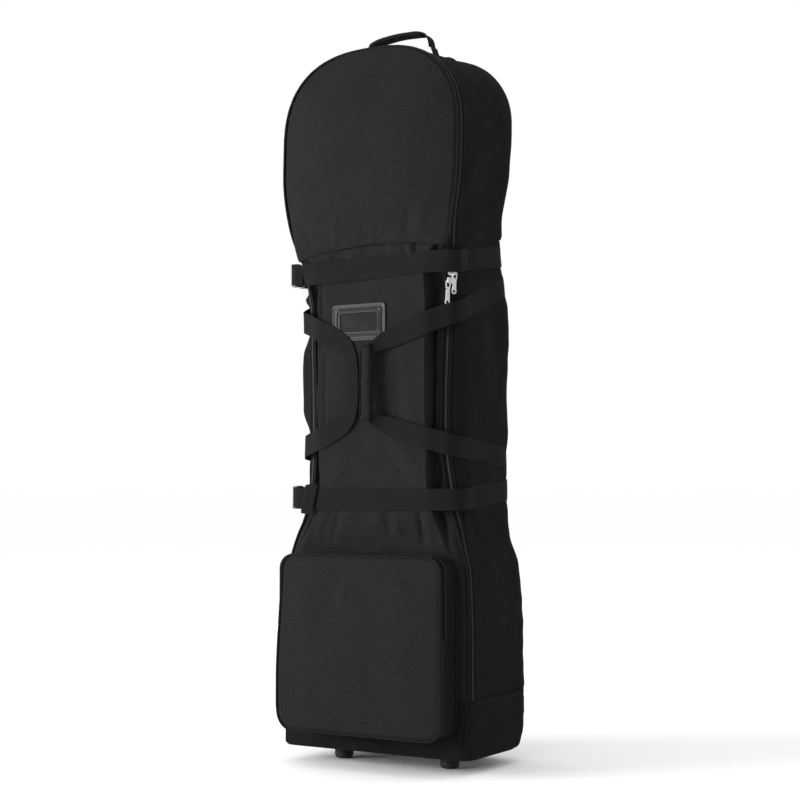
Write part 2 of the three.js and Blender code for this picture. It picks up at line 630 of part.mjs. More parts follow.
// Carrying loops, sewn to the back: the right one's arms end at the grip and the left one turns
// back beside it. Points are [distance, height].
const LOOP_LIFT = 2;
const lifted = (points) => points.map(([d, z]) => ({ d, z, lift: LOOP_LIFT }));
const UPPER_RUN = [[61, 767], [101, 779], [130, 791], [154, 799], [178, 804], [204, 810], [257, 820],
  [330, 834], [352, 836], [374, 838], [396, 839], [440, 840]];
const LOWER_RUN = [[61, 597], [101, 586], [130, 579], [154, 572], [178, 566], [204, 561], [257, 551],
  [330, 536], [352, 533], [374, 531], [396, 530], [440, 528]];
piece('loop_right_upper', webbing(lifted([[24, 752], ...UPPER_RUN])), fabric(WEB_TONE));
piece('loop_right_lower', webbing(lifted([[24, 605], ...LOWER_RUN])), fabric(WEB_TONE));
const leftUpper = UPPER_RUN.slice(1).reverse().map(([d, z]) => [-d, z]);
const leftLower = LOWER_RUN.slice(1).map(([d, z]) => [-d, z]);
const leftTurn = [[-82, 770], [-64, 757], [-53, 738], [-50, 712], [-50, 645], [-53, 624], [-64, 608],
  [-82, 596]];
const leftRun = [...leftUpper, ...leftTurn, ...leftLower];
piece('loop_left', webbing(lifted(leftRun)), fabric(WEB_TONE));

// The grip sleeve on the right loop, standing proud of the front.
const GRIP = { x: 5, y: -141, halfX: 12, halfY: 9, bottom: 618, top: 744 };
function bar(x, y, halfX, halfY, bottom, top, corner) {
  const s = rounded(halfX, -halfY, halfY, corner);
  return new THREE.ExtrudeGeometry(s, { depth: top - bottom, bevelEnabled: false, curveSegments: 3 })
    .translate(x, y, bottom);
}
piece('grip_wrap', cut(
  bar(GRIP.x, GRIP.y, GRIP.halfX, GRIP.halfY, GRIP.bottom, GRIP.top, 6),
  bar(GRIP.x, GRIP.y, GRIP.halfX - 3, 3, GRIP.bottom - 5, GRIP.top + 5, 1),
), fabric(BODY_TONE));
const gripCore = bar(GRIP.x, GRIP.y, GRIP.halfX - 3.4, 2.6, GRIP.bottom - 6, GRIP.top + 6, 1);
piece('grip_webbing', gripCore, fabric(WEB_TONE));

// ---------------------------------------------------------------- top handle
const HANDLE_AXIS_Z = 1310;
const HANDLE_HALF = 12;
function ribbonX(points, halfWidth, thick) {
  const last = points.length - 1;
  return slab(last, 1, (u, v, w) => {
    const i = Math.round(u * last);
    const a = points[Math.max(i - 1, 0)];
    const b = points[Math.min(i + 1, last)];
    const length = Math.hypot(b[0] - a[0], b[1] - a[1]);
    const rise = thick * (w - 0.5);
    return new THREE.Vector3(
      points[i][0] - ((b[1] - a[1]) / length) * rise,
      halfWidth * (2 * v - 1),
      points[i][1] + ((b[0] - a[0]) / length) * rise,
    );
  });
}
const HANDLE_LINE = [[-80.4, HANDLE_AXIS_Z], [-71, 1321], [-56, 1329], [-30, 1335], [0, 1338], [30, 1338],
  [47, 1334], [56, 1325], [58.4, HANDLE_AXIS_Z]];
const SLEEVE_LINE = [[-40, 1333], [-15, 1336.5], [15, 1338], [40, 1336.5]];
piece('top_handle', ribbonX(HANDLE_LINE, HANDLE_HALF, 2.4), fabric(WEB_TONE));
const sleeve = ribbonX(SLEEVE_LINE, HANDLE_HALF + 2.5, 9);
piece('top_handle_grip', cut(sleeve, ribbonX(HANDLE_LINE, HANDLE_HALF + 0.5, 3.4)), fabric(BODY_TONE));
for (const [side, low, high, x] of [['right', 69, 77, 62], ['left', 110, 118, -84]]) {
  const angles = [low, (low + high) / 2, high].map((a) => a * Math.PI / 180);
  const patch = slab(2, 1, (u, v, w) => {
    const st = archStation(angles[Math.round(u * 2)]);
    return gussetPoint(st, 111 + 34 * v, -0.8 - 2 * w);
  });
  const foot = gussetPoint(archStation(angles[1]), 128, -2);
  const tab = ribbonX([[foot.x, foot.z], [x, HANDLE_AXIS_Z - 0.6]], HANDLE_HALF, 2.4);
  piece(`handle_anchor_${side}`, join(patch, tab), fabric(WEB_TONE));
}

// ---------------------------------------------------------------- identity window
const ID = { x0: -80, x1: 34, z0: 759, z1: 827, y: -121.8 };
const idHole = (grow, y0, y1) => box(-62 - grow, 22 + grow, y0, y1, 770 - grow, 814 + grow);
const idPlate = box(ID.x0, ID.x1, ID.y - 2.8, ID.y, ID.z0, ID.z1);
piece('id_frame', cut(idPlate, idHole(4.3, ID.y - 9, ID.y + 9)), plastic());
piece('id_window', idHole(4, ID.y - 2, ID.y - 1.1), plastic());

// ---------------------------------------------------------------- zip sliders and pulls
const PULL = { length: 38, half: 4.5, arm: 1.8, thick: 1.6 };
const SLIDER = { halfWidth: 6.6, halfLength: 5.6, clear: 1.6, plate: 1.5, pin: 4.9 };
const PULL_OFFSET = 4.8;        // the two main sliders carry their pulls side by side

// Builds a slider in its own axes (x across the zip, y outwards, z along it) and sets it on the zip.
function zipSlider(name, origin, outward, along, offset) {
  const across = new THREE.Vector3().crossVectors(outward, along);
  const basis = new THREE.Matrix4().makeBasis(across, outward, along).setPosition(origin);
  const { halfWidth, halfLength, clear, plate, pin } = SLIDER;
  const bridge = box(offset - 1.3, offset + 1.3, clear + 1, pin + 1.9, -4.8, 4.8);
  const tunnel = box(offset - 3, offset + 3, pin - 1.2, pin + 1.2, -2.5, 2.5);
  const body = join(box(-halfWidth, halfWidth, clear, clear + plate, -halfLength, halfLength), bridge);
  piece(`${name}_slider`, cut(body, tunnel).applyMatrix4(basis), metal());
  const { half, arm } = PULL;
  const [low, high] = [pin - PULL.thick / 2, pin + PULL.thick / 2];
  const bar = PULL.thick / 2;
  const blade = join(
    box(-half, half, low, high, -bar, bar),
    box(half - arm, half, low, high, -12, bar),
    box(-half, arm - half, low, high, -12, bar),
    box(-half, half, low, high, -PULL.length, -9),
  );
  const eye = new THREE.CylinderGeometry(2.6, 2.6, 6, 12).translate(0, pin, 4.6 - PULL.length);
  piece(`${name}_pull`, cut(blade, eye).translate(offset, 0, 0).applyMatrix4(basis), metal());
}

const coilPoint = (z) => gussetPoint(sideStation(z, 1), COIL_AT, 0);
const ZIP_RUN = [720, 859];     // heights between which the zip is straight enough for a slider's line
const ZIP_SLIDERS = [
  { name: 'zip_upper', z: 873, offset: -PULL_OFFSET },
  { name: 'zip_lower', z: ZIP_RUN[1], offset: PULL_OFFSET },
];
for (const { name, z, offset } of ZIP_SLIDERS) {
  const origin = coilPoint(z);
  const along = coilPoint(ZIP_RUN[1]).sub(coilPoint(ZIP_RUN[0])).normalize();
  const lean = gussetPoint(sideStation(z, 1), COIL_AT, -1).sub(origin);
  const outward = lean.addScaledVector(along, -lean.dot(along)).normalize();
  zipSlider(name, origin, outward, along, offset);
}
const pocketSliderAt = new THREE.Vector3(-P.half - 1.5, P.split, POCKET_HINGE_Z + 9);
zipSlider('zip_pocket', pocketSliderAt, new THREE.Vector3(-1, 0, 0), new THREE.Vector3(0, 0, 1), 0);

// ---------------------------------------------------------------- inside: the strap that holds the golf bag
const INNER = { z: 700, half: 112, slack: 26, clear: 5 };
piece('inner_strap', slab(8, 1, (u, v, w) => {
  const t = 2 * u - 1;
  const face = section(INNER.z).back - LID_THICK - INNER.clear;
  const z = INNER.z + (v - 0.5) * WEB_WIDTH;
  return new THREE.Vector3(INNER.half * t, face - INNER.slack * (1 - t * t) - WEB_THICK * w, z);
}), fabric(WEB_TONE));

export default root;
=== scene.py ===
"""Looks of a soft wheeled golf travel case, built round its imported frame.

Design numbers are millimetres in the body's own frame, as in the part's source; put() turns
them into the row frame's metres.
"""

import math
from collections import namedtuple
from functools import lru_cache

import bmesh
import bpy
import numpy as np
from mathutils import Matrix, Vector


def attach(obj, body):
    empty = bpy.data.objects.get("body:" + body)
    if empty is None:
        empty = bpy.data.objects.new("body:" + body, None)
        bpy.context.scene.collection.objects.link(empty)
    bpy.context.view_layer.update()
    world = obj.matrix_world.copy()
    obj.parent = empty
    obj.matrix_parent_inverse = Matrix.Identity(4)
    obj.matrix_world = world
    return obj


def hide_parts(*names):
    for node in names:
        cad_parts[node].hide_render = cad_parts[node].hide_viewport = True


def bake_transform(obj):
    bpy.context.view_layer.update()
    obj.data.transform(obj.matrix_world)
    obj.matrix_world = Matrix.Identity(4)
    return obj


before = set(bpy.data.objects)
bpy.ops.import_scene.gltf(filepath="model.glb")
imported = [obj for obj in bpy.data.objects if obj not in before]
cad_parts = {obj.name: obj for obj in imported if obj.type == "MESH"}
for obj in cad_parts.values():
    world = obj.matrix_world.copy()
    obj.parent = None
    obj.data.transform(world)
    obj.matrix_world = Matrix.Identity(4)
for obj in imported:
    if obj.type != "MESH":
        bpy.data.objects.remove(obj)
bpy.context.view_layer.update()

MM = 0.001
BODY_Y = 0.0195                 # the body sits this far behind the middle of the footprint

# ------------------------------------------------------------------ the body's cross-sections
# height, flat half-width of the front, half-width of its sewn edge, setback of that edge, front,
# half-width of the sides, back, and how far the seams climb from front to back
STATIONS = [
    (26, 178, 187, 7, -106, 192, 132, 0),
    (130, 180, 189, 7, -108, 193, 133, 0),
    (340, 178, 187, 8, -110, 189, 124, 12),
    (400, 148, 172, 14, -114, 176, 107, 15),
    (475, 118, 144, 24, -113, 172, 116, 19),
    (560, 114, 132, 22, -115, 168, 119, 22),
    (650, 115, 131, 27, -121, 168, 119, 26),
    (740, 115, 134, 27, -121, 169, 121, 30),
    (830, 115, 138, 26, -120, 167, 118, 34),
    (895, 119, 150, 20, -124, 165, 106, 36),
    (960, 160, 168, 5, -128, 170, 97, 35),
    (1040, 176, 182, 4, -131, 182, 98, 31),
    (1120, 178, 184, 4, -129, 184, 111, 27),
    (1290, 178, 184, 4, -126, 184, 121, 22),
]
TUB_BOTTOM = 26
TUB_TOP = 130
HOOD_SEAM = 921
ARCH_START = 1120
ARCH_TOP = 1287
ARCH_POWER = 2.55
BACK_RADIUS = 45
BOTTOM_RADIUS = 36
BULGE_DEPTH = 42
TAPE = 9                        # width of one half of the zip
COIL_AT = 9.4                   # the zip's middle, from the sewn edge
GUSSET_AT = 19.6                # where the gusset cloth starts, from the sewn edge
CLOTH = 3.0                     # thickness of the lined cloth
WEB_WIDTH = 38
WEB_THICK = 2

Section = namedtuple("Section", "flat edge setback front side back rise")
Station = namedtuple("Station", "x y z nx nz bulge back rise")


@lru_cache(maxsize=None)
def section(z):
    """The cross-section at a height, by smooth interpolation of the table."""
    rows = np.array(STATIONS, float)
    h = min(max(z, rows[0, 0]), rows[-1, 0])
    i = 0
    while i < len(rows) - 2 and h > rows[i + 1, 0]:
        i += 1
    here, after_here = rows[i], rows[i + 1]
    before, after = rows[max(i - 1, 0)], rows[min(i + 2, len(rows) - 1)]
    span = after_here[0] - here[0]
    t = (h - here[0]) / span
    slope_a = (after_here - before) / max(after_here[0] - before[0], 1) * span
    slope_b = (after - here) / max(after[0] - here[0], 1) * span
    value = (here * (2 * t**3 - 3 * t**2 + 1) + slope_a * (t**3 - 2 * t**2 + t)
             + after_here * (3 * t**2 - 2 * t**3) + slope_b * (t**3 - t**2))
    return Section(*value[1:])


def side_station(z, sign):
    s = section(float(z))
    return Station(sign * s.edge, s.front + s.setback, z, sign, 0, s.side - s.edge, s.back, s.rise)


def arch_station(angle):
    s = section(float(ARCH_START))
    c, d = math.cos(angle), math.sin(angle)
    e = 2 / ARCH_POWER
    height = ARCH_TOP - ARCH_START
    x = s.edge * math.copysign(abs(c) ** e, c)
    z = ARCH_START + height * abs(d) ** e
    nx = math.copysign(abs(c) ** (2 - e), c) / s.edge
    nz = abs(d) ** (2 - e) / height
    size = math.hypot(nx, nz)
    here = section(float(z))
    return Station(x, here.front + here.setback, z, nx / size, nz / size, 0, here.back, here.rise)


def lower_path(sign, low=TUB_TOP, high=HOOD_SEAM, step=7):
    return [side_station(z, sign) for z in np.linspace(low, high, int((high - low) / step) + 1)]


def hood_path(step=7):
    heights = np.linspace(HOOD_SEAM, ARCH_START, int((ARCH_START - HOOD_SEAM) / step))
    angles = np.linspace(0, math.pi, 92)[1:-1]
    return ([side_station(z, 1) for z in heights] + [arch_station(a) for a in angles]
            + [side_station(z, -1) for z in heights[::-1]])


@lru_cache(maxsize=None)
def gusset_profile(bulge, depth):
    """Sewn edge, swelling side and rounded back corner: outward offset, depth and distance."""
    q = np.linspace(0, math.pi / 2, 22)
    n = [bulge * np.sin(q), bulge - BACK_RADIUS * (1 - np.cos(q))]
    y = [BULGE_DEPTH * (1 - np.cos(q)), depth - BACK_RADIUS * (1 - np.sin(q))]
    n, y = np.concatenate(n), np.concatenate(y)
    s = np.concatenate([[0], np.cumsum(np.hypot(np.diff(n), np.diff(y)))])
    return n, y, s, np.gradient(n, s), np.gradient(y, s)


def gusset_length(st):
    return gusset_profile(st.bulge, st.back - st.y)[2][-1]


def gusset(st, distance, out=0.0):
    """Points on the gusset at distances from the sewn edge, moved outwards."""
    n, y, s, tn, ty = gusset_profile(st.bulge, st.back - st.y)
    d = np.atleast_1d(np.asarray(distance, float))
    away = np.interp(d, s, n) + out * np.interp(d, s, ty)
    deep = np.interp(d, s, y) - out * np.interp(d, s, tn)
    lift = st.rise * deep / (st.back - st.y)
    return np.stack([st.x + st.nx * away, st.y + deep + 0 * d, st.z + st.nz * away + lift], -1)


# ------------------------------------------------------------------ mesh helpers
def travelled(points):
    """The distance along a line of points, from the first point to each."""
    return np.concatenate([[0], np.cumsum(np.linalg.norm(np.diff(points, axis=0), axis=1))])


def path_run(path):
    """The distance along a path of stations."""
    return travelled(np.array([(st.x, st.y, st.z) for st in path]))


def unit(vectors):
    return vectors / np.linalg.norm(vectors, axis=-1)[..., None]


def heading(line):
    """Unit tangents of a line of points."""
    return unit(np.gradient(line, axis=0))


def repeat(vector, count):
    return np.tile(np.array(vector, float), (count, 1))


def put(points):
    p = np.array(points, float) * MM
    p[..., 1] += BODY_Y
    return p


def ease(t):
    t = np.clip(t, 0, 1)
    return t * t * (3 - 2 * t)


def drift(a, b, scale, seed, waves=7):
    """Smooth seeded noise from -1 to 1 over two coordinates; scale is its wavelength."""
    r = np.random.default_rng(seed)
    total = 0
    for _ in range(waves):
        angle = r.uniform(0, 2 * math.pi)
        k = 2 * math.pi / (scale * r.uniform(0.6, 1.7))
        total = total + np.sin(k * (a * math.cos(angle) + b * math.sin(angle)) + r.uniform(0, 2 * math.pi))
    return total / math.sqrt(waves) * 0.8


def near(value, place, width):
    """1 at a place, falling to 0 beside it over about the width."""
    return np.exp(-((value - place) / width) ** 2)


def crease(a, b, p, q, height, width):
    """A ridge, or a valley if height is negative, along the line from p to q, fading at its ends."""
    dx, dz = q[0] - p[0], q[1] - p[1]
    length = math.hypot(dx, dz)
    along = ((a - p[0]) * dx + (b - p[1]) * dz) / length
    across = ((a - p[0]) * dz - (b - p[1]) * dx) / length
    past = np.maximum(np.maximum(-along, along - length), 0)
    fade = np.sqrt(np.clip(along / length, 0.001, 1) * np.clip(1 - along / length, 0.001, 1)) * 2
    return height * fade * np.exp(-(across / width) ** 2 - (past / width) ** 2)


def add_object(name, data):
    obj = bpy.data.objects.new(name, data)
    bpy.context.scene.collection.objects.link(obj)
    return obj


def shade_smooth(mesh, sharp):
    """Smooth faces, with edges sharper than an angle in degrees left sharp."""
    for face in mesh.polygons:
        face.use_smooth = True
    mesh.set_sharp_from_angle(angle=math.radians(sharp))


def modify(obj, kind, **values):
    modifier = obj.modifiers.new(kind.lower(), kind)
    for key, value in values.items():
        setattr(modifier, key, value)


def bevel(obj, width, segments, angle):
    modify(obj, "BEVEL", width=width * MM, segments=segments, limit_method="ANGLE",
           angle_limit=math.radians(angle))


def turn_outwards(mesh, weld):
    """Turns a mesh's faces outwards, with doubled points joined first where weld is set."""
    bm = bmesh.new()
    bm.from_mesh(mesh)
    if weld:
        bmesh.ops.remove_doubles(bm, verts=bm.verts, dist=1e-6)
    bmesh.ops.recalc_face_normals(bm, faces=bm.faces)
    bm.to_mesh(mesh)
    bm.free()


def creases(a, b, folds):
    return sum(crease(a, b, *fold) for fold in folds)


def finish_mesh(name, points, faces, materials, uv=None, face_material=None, sharp=42, weld=False):
    """Makes an object of points (body frame, mm) and faces, turned outwards and shaded smooth."""
    mesh = bpy.data.meshes.new(name)
    mesh.from_pydata(put(points).tolist(), [], [list(map(int, f)) for f in faces])
    if uv is not None:
        layer = mesh.uv_layers.new(name="Cloth")
        index = np.zeros(len(mesh.loops), np.int32)
        mesh.loops.foreach_get("vertex_index", index)
        layer.data.foreach_set("uv", np.asarray(uv, np.float32)[index].ravel())
    for m in materials:
        mesh.materials.append(m)
    if face_material is not None:
        mesh.polygons.foreach_set("material_index", np.asarray(face_material, np.int32))
    turn_outwards(mesh, weld)
    shade_smooth(mesh, sharp)
    return add_object(name, mesh)


def grid_faces(rows, cols, wrap=False, offset=0, flip=False):
    """Four-sided faces between the points of a grid; wrap joins its last column to its first."""
    index = np.arange(rows * cols).reshape(rows, cols) + offset
    right = np.roll(index, -1, axis=1) if wrap else index[:, 1:]
    left = index if wrap else index[:, :-1]
    quads = np.stack([left[:-1], right[:-1], right[1:], left[1:]], -1).reshape(-1, 4)
    return quads[:, ::-1] if flip else quads


def shell(name, outer, inner, uv, materials, wrap=False, weld=False, sharp=42):
    """A closed skin between an outer and an inner grid of points; the inside gets the last material."""
    rows, cols = outer.shape[:2]
    count = rows * cols
    index = np.arange(count).reshape(rows, cols)
    faces = [grid_faces(rows, cols, wrap), grid_faces(rows, cols, wrap, count, True)]
    nxt = np.roll(index, -1, axis=1) if wrap else index[:, 1:]
    now = index if wrap else index[:, :-1]
    for row, turn in ((0, 1), (-1, -1)):
        quad = np.stack([nxt[row], now[row], now[row] + count, nxt[row] + count], -1)
        faces.append(quad[:, ::turn])
    if not wrap:
        for col, turn in ((0, 1), (-1, -1)):
            a, b = index[:-1, col], index[1:, col]
            faces.append(np.stack([a, b, b + count, a + count], -1)[:, ::turn])
    kinds = [np.zeros(len(f), int) for f in faces]
    kinds[1] += len(materials) - 1
    points = np.concatenate([outer.reshape(-1, 3), inner.reshape(-1, 3)])
    flat = np.asarray(uv, float).reshape(-1, 2)
    return finish_mesh(name, points, np.concatenate(faces), materials, np.concatenate([flat, flat]),
                       np.concatenate(kinds), sharp, weld)


def tube_faces(rings, sides):
    """The faces of a closed tube of rings, with a flat face at each end."""
    last = (rings - 1) * sides
    ends = [list(range(sides))[::-1], [last + i for i in range(sides)]]
    return grid_faces(rings, sides, True).tolist() + ends


def sweep_parts(path, radius, sides=8):
    """Points, faces and uv of a tube of the given radius, or radii, along a dense path in mm."""
    path = np.asarray(path, float)
    radius = np.broadcast_to(np.asarray(radius, float), (len(path),))
    tangent = heading(path)
    side = np.cross(tangent[0], (0.31, 0.17, 0.93))
    first, second = [], []
    for t in tangent:
        side = unit(side - t * (side @ t))
        first.append(side)
        second.append(np.cross(t, side))
    q = np.arange(sides) / sides * 2 * math.pi
    ring = (np.cos(q)[None, :, None] * np.array(first)[:, None]
            + np.sin(q)[None, :, None] * np.array(second)[:, None])
    points = path[:, None] + ring * radius[:, None, None]
    uv = np.stack(np.broadcast_arrays(travelled(path)[:, None], (q * radius.mean())[None]), -1)
    return points.reshape(-1, 3), tube_faces(len(path), sides), uv.reshape(-1, 2)


def gather(parts):
    """Joins several (points, faces, uv) into one."""
    points, faces, uvs, start = [], [], [], 0
    for p, f, t in parts:
        points.append(p)
        uvs.append(t)
        faces += [[i + start for i in face] for face in f]
        start += len(p)
    return np.concatenate(points), faces, np.concatenate(uvs)


def tube(name, path, radius, material, sides=10):
    points, faces, uv = sweep_parts(path, radius, sides)
    return finish_mesh(name, points, faces, [material], uv, sharp=60)


def along_line(t, s, points):
    """Points at distances t along a line whose own points are at distances s."""
    return np.stack([np.interp(t, s, points[:, i]) for i in range(points.shape[1])], -1)


def resample(points, step):
    """Evenly spaced points along a line, about a step apart."""
    points = np.asarray(points, float)
    s = travelled(points)
    t = np.linspace(0, s[-1], max(int(s[-1] / step), 2) + 1)
    return along_line(t, s, points)


def soften(points, reach, closed=False):
    """A running mean over reach neighbours on each side; open ends stay where they are."""
    points = np.asarray(points, float)
    out = np.zeros_like(points)
    for k in range(-reach, reach + 1):
        if closed:
            out += np.roll(points, k, axis=0)
            continue
        index = np.arange(len(points)) + k
        kept = np.clip(index, 0, len(points) - 1)
        step = np.where((index < 0)[:, None], points[1] - points[0], points[-1] - points[-2])
        out += points[kept] + (index - kept)[:, None] * step
    return out / (2 * reach + 1)


def on_grid(grid, row, col):
    """A point of a grid of points at fractional row and column."""
    row = np.clip(row, 0, grid.shape[0] - 1.001)
    col = np.clip(col, 0, grid.shape[1] - 1.001)
    i, j = row.astype(int), col.astype(int)
    s, t = (row - i)[:, None], (col - j)[:, None]
    return ((grid[i, j] * (1 - s) + grid[i + 1, j] * s) * (1 - t)
            + (grid[i, j + 1] * (1 - s) + grid[i + 1, j + 1] * s) * t)


STITCHES = {}
THREAD = 0.42


STITCH_TAPER = np.array([0.35, 0.9, 1, 0.9, 0.35])


def stitch(body, path, pitch=4.4, share=0.66):
    """A row of stitches along a path in mm; all of one body's stitches become one piece."""
    line = resample(path, pitch / 4)
    s = np.arange(len(line)) * pitch / 4
    for start in np.arange(0.3, s[-1] - pitch, pitch):
        t = start + np.linspace(0, 1, 5) * pitch * share
        tapered = sweep_parts(along_line(t, s, line), THREAD * STITCH_TAPER, 5)
        STITCHES.setdefault(body, []).append(tapered)


def block(b, name):
    """A plain block from x0, x1, y0, y1, z0, z1 in mm."""
    bm = bmesh.new()
    size = Vector((b[1] - b[0], b[3] - b[2], b[5] - b[4])) * MM
    middle = Vector(((b[0] + b[1]) / 2, (b[2] + b[3]) / 2, (b[4] + b[5]) / 2)) * MM
    place = Matrix.Translation(middle) @ Matrix.Diagonal(size).to_4x4()
    bmesh.ops.create_cube(bm, size=1, matrix=place)
    mesh = bpy.data.meshes.new(name)
    bm.to_mesh(mesh)
    bm.free()
    return add_object(name, mesh)


def boxed(name, boxes, material, rounding=0.8, segments=3, cuts=(), matrix=None):
    """Bevelled blocks joined and cut by other blocks; a block is x0, x1, y0, y1, z0, z1 in mm."""
    main = block(boxes[0], name)
    helpers = []
    for b, operation in [(b, "UNION") for b in boxes[1:]] + [(b, "DIFFERENCE") for b in cuts]:
        helpers.append(block(b, "helper"))
        modify(main, "BOOLEAN", operation=operation, object=helpers[-1], solver="EXACT")
    bevel(main, rounding, segments, 30)
    bake(main)
    for helper in helpers:
        bpy.data.objects.remove(helper)
    main.data.materials.clear()
    main.data.materials.append(material)
    main.data.transform(Matrix.Translation((0, BODY_Y, 0)) if matrix is None else matrix)
    shade_smooth(main.data, 35)
    return main


def bake(obj):
    """Applies an object's modifiers to its mesh."""
    bpy.context.view_layer.update()
    graph = bpy.context.evaluated_depsgraph_get()
    mesh = bpy.data.meshes.new_from_object(obj.evaluated_get(graph))
    obj.modifiers.clear()
    obj.data = mesh


def lathe(name, profile, material, centre, axis="X", steps=72, sharp=35):
    """Turns a profile of (offset along the axis, radius) about an axis through centre."""
    q = np.arange(steps) / steps * 2 * math.pi
    offset = np.array([p[0] for p in profile], float)[:, None] + 0 * q
    radius = np.array([p[1] for p in profile], float)[:, None]
    c, s = radius * np.cos(q), radius * np.sin(q)
    points = np.stack([offset, c, s] if axis == "X" else [c, s, offset], -1) + np.array(centre, float)
    faces = grid_faces(len(profile), steps, True).tolist()
    if max(profile[0][1], profile[-1][1]) >= 0.01:
        first = np.arange(steps)
        last = first + (len(profile) - 1) * steps
        faces += np.stack([last, np.roll(last, -1), np.roll(first, -1), first], -1).tolist()
    uv = np.stack(np.broadcast_arrays(radius * q, offset), -1).reshape(-1, 2)
    return finish_mesh(name, points.reshape(-1, 3), faces, [material], uv, sharp=sharp, weld=True)


# ------------------------------------------------------------------ materials
class Nodes:
    """A material being built: short calls that add and link shader nodes."""

    def __init__(self, name, color, roughness, metallic=0.0, specular=0.5, sheen=0.0, coat=0.0):
        self.material = bpy.data.materials.new(name)
        self.material.use_nodes = True
        self.tree = self.material.node_tree
        self.shader = self.tree.nodes["Principled BSDF"]
        self.color = color
        self.tint = None
        self.normal = None
        values = {"Base Color": (*color, 1), "Roughness": roughness, "Metallic": metallic,
                  "Specular IOR Level": specular, "Sheen Weight": sheen, "Sheen Roughness": 0.45,
                  "Coat Weight": coat, "Coat Roughness": 0.12}
        for key, value in values.items():
            self.shader.inputs[key].default_value = value

    def add(self, kind, **values):
        node = self.tree.nodes.new(kind)
        for key, value in values.items():
            if hasattr(node, key):
                setattr(node, key, value)
            else:
                node.inputs[key.replace("_", " ")].default_value = value
        return node

    def link(self, a, b):
        self.tree.links.new(a, b)

    def math(self, operation, *values, clamp=False):
        node = self.add("ShaderNodeMath", operation=operation, use_clamp=clamp)
        for socket, value in zip(node.inputs, values):
            if isinstance(value, (int, float)):
                socket.default_value = value
            else:
                self.link(value, socket)
        return node.outputs[0]

    def cloth_uv(self):
        """The piece's own unrolled coordinates in millimetres: both together, then one by one."""
        node = self.add("ShaderNodeUVMap", uv_map="Cloth")
        split = self.add("ShaderNodeSeparateXYZ")
        self.link(node.outputs[0], split.inputs[0])
        return node.outputs[0], split.outputs[0], split.outputs[1]

    def noise(self, vector, scale, detail=3, roughness=0.55):
        node = self.add("ShaderNodeTexNoise", Scale=scale, Detail=detail, Roughness=roughness)
        self.link(vector, node.inputs["Vector"])
        return node.outputs[0]

    def place(self):
        return self.add("ShaderNodeTexCoord").outputs["Object"]

    def wave(self, value, pitch):
        return self.math("SINE", self.math("MULTIPLY", value, 2 * math.pi / pitch))

    def ramp(self, value, **ends):
        """Maps a value between the named ends, such as To_Min and To_Max."""
        node = self.add("ShaderNodeMapRange", **ends)
        self.link(value, node.inputs["Value"])
        return node.outputs[0]

    def shade(self, value, spread):
        """Multiplies the base colour by 1 plus or minus spread, as value goes from 0 to 1."""
        mix = self.add("ShaderNodeVectorMath", operation="SCALE")
        if self.tint is None:
            mix.inputs[0].default_value = self.color
        else:
            self.link(self.tint, mix.inputs[0])
        self.link(self.ramp(value, To_Min=1 - spread, To_Max=1 + spread), mix.inputs["Scale"])
        self.tint = mix.outputs[0]
        self.link(self.tint, self.shader.inputs["Base Color"])

    def rough(self, value, low, high):
        self.link(self.ramp(value, To_Min=low, To_Max=high), self.shader.inputs["Roughness"])

    def bump(self, height, distance, strength=1.0):
        node = self.add("ShaderNodeBump", Strength=strength, Distance=distance * MM)
        self.link(height, node.inputs["Height"])
        if self.normal is not None:
            self.link(self.normal, node.inputs["Normal"])
        self.normal = node.outputs[0]
        self.link(self.normal, self.shader.inputs["Normal"])


def woven(name, color, pitch=1.1, sheen=0.01, roughness=0.78, grain=0.3):
    """Plain-woven coated polyester: threads over and under, uneven yarn, soft sheen."""
    n = Nodes(name, color, roughness, specular=0.012, sheen=sheen)
    uv, u, v = n.cloth_uv()
    yarns = n.math("ADD", n.wave(u, pitch), n.wave(v, pitch))
    over = n.math("MULTIPLY", n.wave(u, 2 * pitch), n.wave(v, 2 * pitch))
    weave = n.math("ADD", n.math("MULTIPLY", yarns, 0.25), n.math("MULTIPLY", over, 0.5))
    uneven = n.math("MULTIPLY_ADD", n.noise(uv, 0.34, 4, 0.8), 3.0, -1.0, clamp=True)
    blotch = n.noise(uv, 0.018, 3)
    slub_map = n.add("ShaderNodeMapping", Scale=(0.05, 0.9, 1))
    n.link(uv, slub_map.inputs["Vector"])
    slub = n.noise(slub_map.outputs[0], 1.0, 2)
    n.shade(n.math("ADD", n.math("MULTIPLY", weave, 0.5), 0.5), 0.12)
    n.shade(uneven, grain * 2)
    n.shade(slub, grain)
    n.shade(blotch, 0.10)
    n.rough(uneven, roughness - 0.08, roughness + 0.1)
    n.bump(weave, 0.22, 0.9)
    n.bump(uneven, 0.35, 0.5)
    return n.material


HERRINGBONE = 6.3               # width of one zigzag of the webbing's weave


def ribbed(name, color, pitch=2.0, sheen=0.01, roughness=0.62):
    """Webbing: a herringbone of ribs, with u along the band and v across it."""
    n = Nodes(name, color, roughness, specular=0.015, sheen=sheen)
    uv, u, v = n.cloth_uv()
    turn = n.math("FRACT", n.math("MULTIPLY", v, 1 / HERRINGBONE))
    turn = n.math("ABSOLUTE", n.math("SUBTRACT", turn, 0.5))
    twill = n.wave(n.math("ADD", u, n.math("MULTIPLY", turn, HERRINGBONE)), pitch)
    rib = n.wave(v, 1.57)
    height = n.math("ADD", n.math("MULTIPLY", twill, 0.6), n.math("MULTIPLY", rib, 0.4))
    uneven = n.math("MULTIPLY_ADD", n.noise(uv, 0.4, 3, 0.7), 3.0, -1.0, clamp=True)
    n.shade(n.math("ADD", n.math("MULTIPLY", height, 0.5), 0.5), 0.2)
    n.shade(uneven, 0.18)
    n.rough(uneven, roughness - 0.1, roughness + 0.08)
    n.bump(height, 0.28, 0.9)
    return n.material


